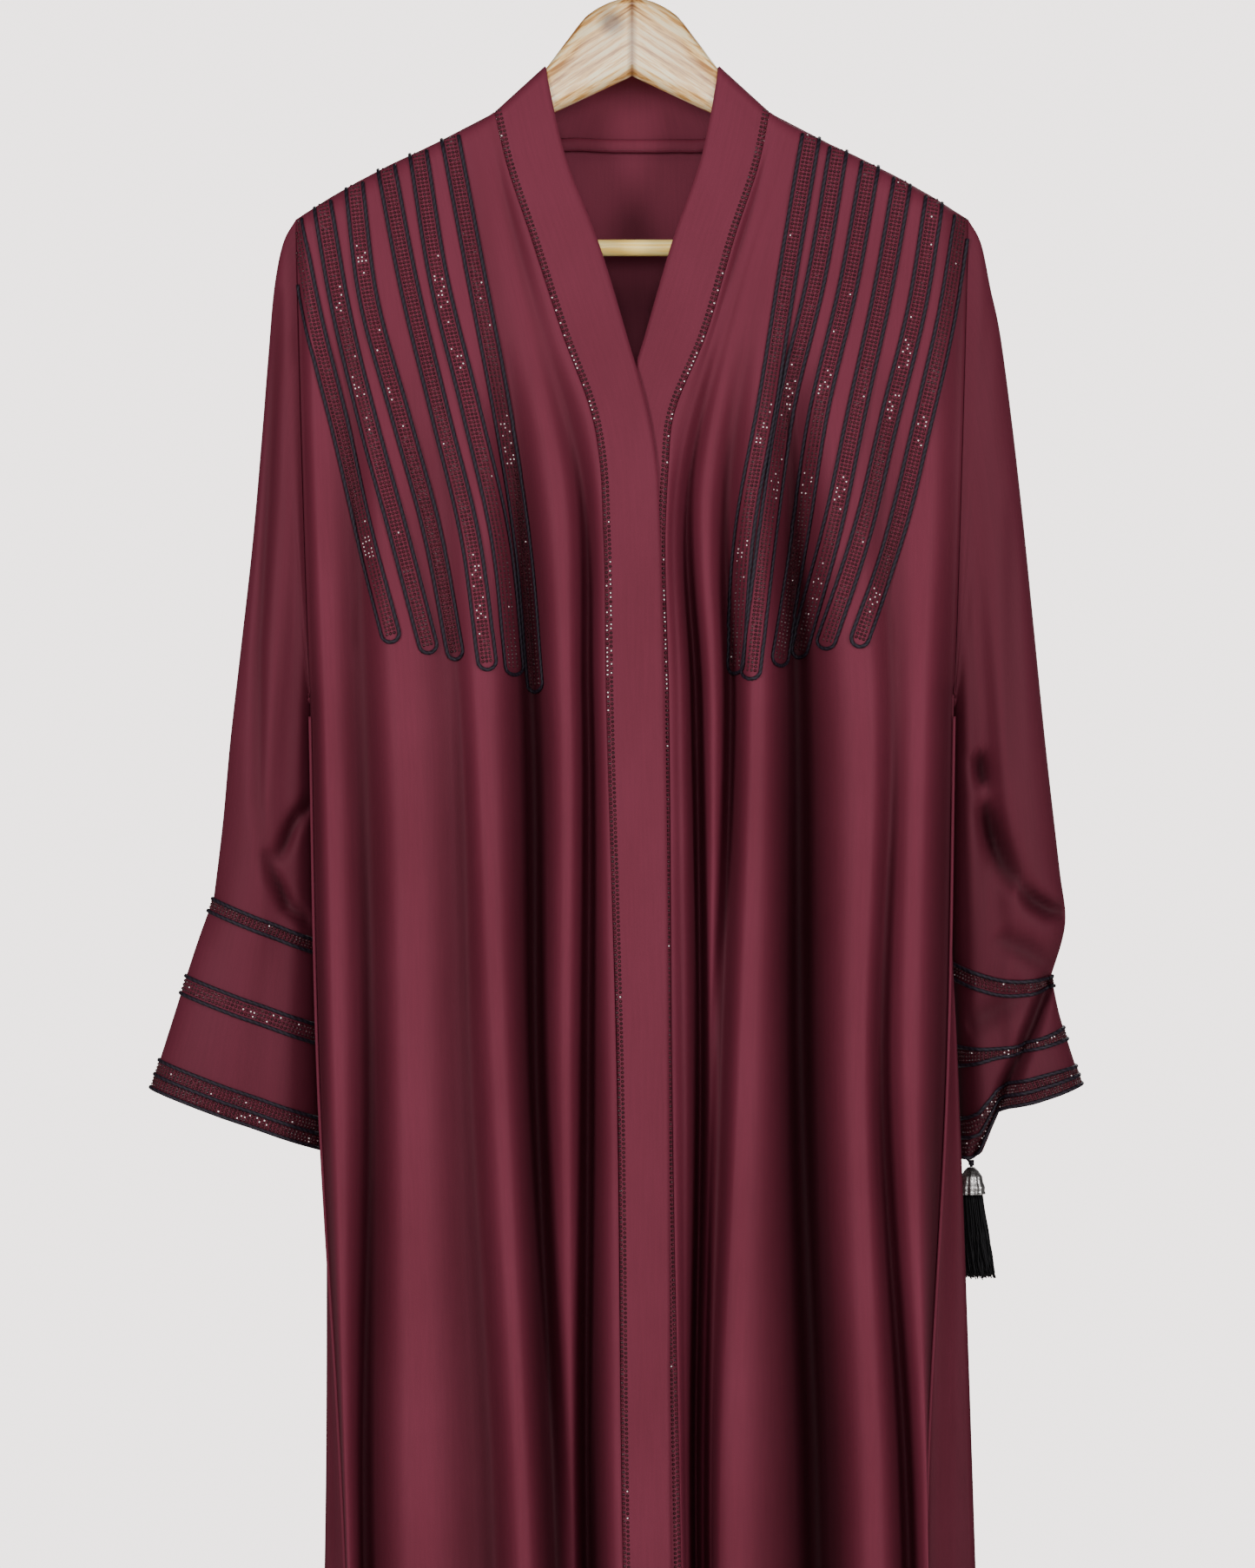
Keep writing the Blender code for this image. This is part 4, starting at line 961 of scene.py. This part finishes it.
def hangerArms():
    # round-edged sections along x: z = middle + depth * cos(a) + straight * sign(cos a), y = depth * sin(a)
    x = np.linspace(-205, 205, hanger["places"] * 2 - 1)
    depth = curveThrough(arm["x"], arm["halfDepth"], np.abs(x))[:, None]
    tall = curveThrough(arm["x"], arm["height"], np.abs(x))[:, None]
    under = arm["underCloth"] * np.clip((np.abs(x) - 30) / 30, 0, 1)
    # the crown's lower edge is a straight roof, which runs into the arm's own height beyond it
    share = np.clip((np.abs(x)[:, None] - arm["crownHalf"]) / 30, 0, 1)
    share = share * share * (3 - 2 * share)
    top = (shoulderZ(x) - under)[:, None] + arm["crownRise"] * (1 - share)
    roof = top - arm["crownFootZ"] + arm["crownSlope"] * np.abs(x)[:, None]
    tall = roof + (tall - roof) * share
    middle = top - tall / 2
    angle = 2 * pi * (np.arange(hanger["sides"]) + 0.5) / hanger["sides"]
    straight = np.maximum(tall / 2 - depth, 0)
    upright = np.where(tall / 2 < depth, tall / 2, depth) * np.cos(angle)
    z = middle + upright + straight * np.sign(np.cos(angle))
    rings = np.stack([x[:, None] + 0 * z, depth * np.sin(angle), z], axis=-1)
    count, sides = rings.shape[:2]
    faces = gridFaces(count, sides, True, True).tolist()
    faces += [list(reversed(range(sides))), [(count - 1) * sides + i for i in range(sides)]]
    meshPiece("lacqueredArms", rings.reshape(-1, 3), faces, wood, ("hanger_arms",))


def hangerBar():
    x = np.linspace(-hanger["barHalf"], hanger["barHalf"], 60)
    points = np.stack([x, 0 * x, 0 * x + hanger["barZ"]], axis=1)
    bar = tube(points, (0, 0, 1), 2 * hanger["barRadius"], 2 * hanger["barRadius"], 32, lift=0.0)
    joinedPiece("dowelBar", [bar], dowelWood, ("hanger_bar",))


def hangerHook():
    # straight up from the wood, then three quarters of a circle round the rail
    centreZ = hanger["hookWire"] - hanger["hookRadius"]
    turn = np.radians(np.linspace(-70, 200, 60))
    bend = np.stack([np.cos(turn), 0 * turn, np.sin(turn)], axis=1) * hanger["hookRadius"]
    stem = [(0, 0, hanger["hookFootZ"]), (0, 0, centreZ - hanger["hookRadius"] - 12),
            (0, 0, centreZ - hanger["hookRadius"] - 6)]
    points = evenly(np.concatenate([stem, bend + [0, 0, centreZ]]), 1.5)
    wire = tube(points, (0, -1, 0), 2 * hanger["hookWire"], 2 * hanger["hookWire"], 20, lift=0.0)
    joinedPiece("steelHook", [wire], steel, ("hanger_hook",))


hangerArms()
hangerBar()
hangerHook()
print("hanger made")


# the tassel at the corner of the wearer's left cuff

tasselCut = {"at": (226.5, 30.0), "loopTop": (221.8, 28.8, -837.7), "loopCord": 1.1, "length": 52.0,
             "strands": 190, "strandWidth": 0.9, "rootZ": -864.0, "rootRadius": 8.0, "flutes": 14,
             "cap": ((-845.5, 2.2), (-848, 5.0), (-852, 7.2), (-858, 8.6), (-862, 9.2), (-863.5, 9.0))}


def tasselCap():
    # a spun cone whose rim is fluted: radius * (1 + 0.05 * sin(flutes * a) * how far down)
    z, radius = np.array(tasselCut["cap"], float).T
    at = np.linspace(0, 1, 40)
    z, radius = np.interp(at, np.linspace(0, 1, 6), z), np.interp(at, np.linspace(0, 1, 6), radius)
    angle = 2 * pi * np.arange(112) / 112
    lobes = 1 + 0.05 * np.sin(tasselCut["flutes"] * angle)[None] * at[:, None]
    rows = 1 + 0.03 * np.sin(at * 22)[:, None]
    spread = radius[:, None] * lobes * rows
    x = tasselCut["at"][0] + spread * np.cos(angle)
    y = tasselCut["at"][1] + spread * np.sin(angle)
    rings = np.stack([x, y, z[:, None] + 0 * x], axis=-1)
    faces = gridFaces(40, 112, True).tolist() + [list(range(112))]
    faces += [[39 * 112 + i for i in reversed(range(112))]]
    meshPiece("filigreeCap", rings.reshape(-1, 3), faces, silver, ("tassel_cap",))


def tasselLoop():
    # a doubled cord with a small knot in it
    x, y = tasselCut["at"]
    capZ = tasselCut["cap"][0][0]
    top = np.array(tasselCut["loopTop"])
    ends = [top, (top + [x, y, capZ]) / 2 + [0.8, 0, 0.3], (x, y, capZ + 2.4), (x, y, capZ + 0.2)]
    line = evenly(np.array(ends, float), 0.6)
    wide = tasselCut["loopCord"]
    parts = [tube(line + [shift, 0, 0], (0, -1, 0), wide, wide, lift=0.0) for shift in (-0.5, 0.5)]
    turn = np.linspace(0, 2 * pi * 3, 60)
    coil = np.stack([1.5 * np.cos(turn), 1.5 * np.sin(turn), 1.8 - 3.0 * turn / turn[-1]], axis=1)
    out = np.stack([np.cos(turn), np.sin(turn), 0 * turn], axis=1)
    parts.append(tube(coil + [x, y, capZ + 2.6], out, wide, wide, lift=0.0))
    joinedPiece("tasselLoopCord", parts, cordThread, ("tassel_loop",))


def tasselStrands():
    # strands from a sunflower spread under the cap, root radius * sqrt(i / n), leaning out and waving
    rng = np.random.default_rng(21)
    x, y = tasselCut["at"]
    count = tasselCut["strands"]
    turn = np.arange(count) * pi * (3 - 5 ** 0.5)
    radius = tasselCut["rootRadius"] * np.sqrt((np.arange(count) + 0.5) / count)
    down = np.linspace(0, 1, 12)
    parts = []
    for a, r, length, phase in zip(turn, radius, rng.uniform(0.88, 1.0, count), rng.uniform(0, 6, count)):
        spread = r * (0.96 + 0.34 * down ** 1.3) + 0.9 * np.sin(7 * down + phase) * down
        z = tasselCut["rootZ"] - (tasselCut["length"] * length + 4.0) * down
        lean = 1.4 * np.sin(5 * down + 2 * phase) * down / max(r, 2.0)
        line = np.stack([x + spread * np.cos(a + lean) + 6.0 * down, y + spread * np.sin(a + lean), z],
                        axis=1)
        parts.append(tube(line, (np.cos(a), np.sin(a), 0), tasselCut["strandWidth"],
                          tasselCut["strandWidth"], 5, lift=0.0))
    joinedPiece("flossStrands", parts, floss, ("tassel_strands",))


tasselCap()
tasselLoop()
tasselStrands()
print("tassel made")


# seams and stitches

def zigzag(line, normals, width, pitch, thick):
    # overlock thread: point + width * triangle wave * side, a thin tube along it
    path = evenly(np.concatenate([line, normals], axis=1), pitch / 4)
    points, out = path[:, :3], path[:, 3:]
    side = unit(np.cross(np.gradient(points, axis=0), out))
    wave = 2 * np.abs((np.arange(len(points)) / 4) % 1 - 0.5) * 2 - 1
    return tube(points + side * (width / 2 * wave)[:, None] + out * 0.2, out, thick, thick, 5, lift=0.3)


def collarSeam():
    # the seam allowance inside the back of the neck, pressed down and overlocked
    share = (1 - np.cos(pi * np.linspace(0.08, 0.92, 90))) / 2
    low = collarEdge(share, body["neckX"] - body["seamGap"], body["collarBackY"], body["collarDrop"])
    out = unit(np.stack([0.35 * np.cos(pi * share), -np.sin(pi * share), 0 * share], axis=1))
    wave = np.stack([0 * share, 0 * share, 0.5 * np.sin(31 * share) + 0.3 * np.sin(73 * share)], axis=1)
    low = low + out * 2.2 + wave
    joinedPiece("neckSeamFold", [tube(low, out, 9.0, 4.4, 12, lift=0.3)], crepe,
                shade=1.0)
    thread = zigzag(low + out * 2.7 - [0, 0, 1.6], out, 3.4, 1.3, 0.34)
    joinedPiece("neckOverlockThread", [thread], maroonThread)


def stitchRow(line, normals, pitch, length, thick):
    # separate short stitches along a line, each a flat oval lying on the cloth
    path = evenly(np.concatenate([line, normals], axis=1), pitch)
    points, out = path[:, :3], path[:, 3:]
    run = unit(np.gradient(points, axis=0))
    along = (np.linspace(-0.5, 0.5, 4) * length)[:, None]
    return [tube(point + way * along, up, thick, thick * 0.7, 5, lift=0.3)
            for point, way, up in zip(points, run, out)]


def hemStitches():
    # one row of stitches above the hem of each front
    parts = []
    for grid in frontGrids.values():
        away = grid[:, :, 2].mean(axis=1) - (body["hemZ"] + body["stitchesAboveHem"])
        row = int(np.argmin(np.abs(away)))
        normals = gridNormals(grid)[row]
        normals *= np.sign(-normals[:, 1:2] + 1e-9)
        parts += stitchRow(grid[row], normals, 3.4, 2.2, 0.35)
    joinedPiece("frontHemStitches", parts, maroonThread)


def sideSeams():
    # the seam where front meets back stands up as a thin piped edge from the underarm to the hem
    parts = []
    for cut in (frontRightCut, frontLeftCut):
        line = sideLine(cut["side"], -1)
        line = evenly(line[line[:, 2] < body["underarm"][1] - 6], 4.0)
        parts.append(tube(line, (0.75 * np.sign(line[0, 0]), -0.66, 0), 2.6, 1.9, 8, lift=0.2))
    joinedPiece("sideSeamPiping", parts, crepe, shade=1.0)


collarSeam()
hemStitches()
sideSeams()
print("seams made")


# floor, light and camera

def makeStage():
    mesh = bpy.data.meshes.new("paleFloor")
    half, z = 3.0, -1.75
    mesh.from_pydata([(-half, -half, z), (half, -half, z), (half, half, z), (-half, half, z)], [],
                     [(0, 1, 2, 3)])
    floor = addObject("paleFloor", mesh)
    material, shader = newMaterial("palePaintedFloor", {"Roughness": 0.9})
    shader.inputs["Base Color"].default_value = linear("#e3dfdd")
    mesh.materials.append(material)


def areaLight(name, place, target, size, energy):
    data = bpy.data.lights.new(name, "AREA")
    data.shape = "RECTANGLE"
    data.size, data.size_y = size
    data.energy = energy
    lamp = addObject(name, data)
    lamp.location = place
    direction = np.array(target) - np.array(place)
    lamp.rotation_euler = Vector(direction.tolist()).to_track_quat("-Z", "Y").to_euler()


def makeLight():
    world = bpy.data.worlds.new("studio")
    bpy.context.scene.world = world
    world.use_nodes = True
    soft = world.node_tree.nodes["Background"]
    soft.inputs["Color"].default_value = linear("#e8e4e3")
    soft.inputs["Strength"].default_value = 0.12
    seen = addNode(world, "ShaderNodeBackground", inputs={"Color": linear("#e9e1df"), "Strength": 4.0})
    path = addNode(world, "ShaderNodeLightPath")
    mix = addNode(world, "ShaderNodeMixShader", inputs={
        "Fac": (path, "Is Camera Ray"), 1: (soft, "Background"), 2: (seen, "Background")})
    link(world, mix, "Shader", world.node_tree.nodes["World Output"], "Surface")
    areaLight("leftLight", (-2.4, -2.5, 0.1), (0, 0, -0.6), (0.9, 1.8), 80)
    areaLight("rightLight", (2.4, -2.5, 0.0), (0, 0, -0.6), (0.9, 1.8), 73)
    areaLight("frontLight", (0.0, -3.6, 0.2), (0, 0, -0.4), (1.2, 1.2), 39)
    areaLight("topLight", (0.0, -1.6, 2.0), (0, 0, -0.5), (1.6, 0.8), 14)
    areaLight("backLight", (0.6, 2.6, 0.4), (0, 0, -0.6), (2.0, 2.0), 60)


def makeCamera():
    data = bpy.data.cameras.new("photoCamera")
    data.sensor_fit = "VERTICAL"
    data.sensor_height = 36.0
    data.lens = 36.0 * photoFrame["distance"] / photoFrame["tall"]
    data.clip_end = 50.0
    camera = addObject("photoCamera", data)
    camera.location = (photoFrame["centreX"] * mm,
                       (photoFrame["clothY"] - photoFrame["distance"]) * mm,
                       photoFrame["centreZ"] * mm)
    camera.rotation_euler = (pi / 2, 0, 0)
    bpy.context.scene.camera = camera


makeStage()
makeLight()
makeCamera()
print("stage, light and camera made")
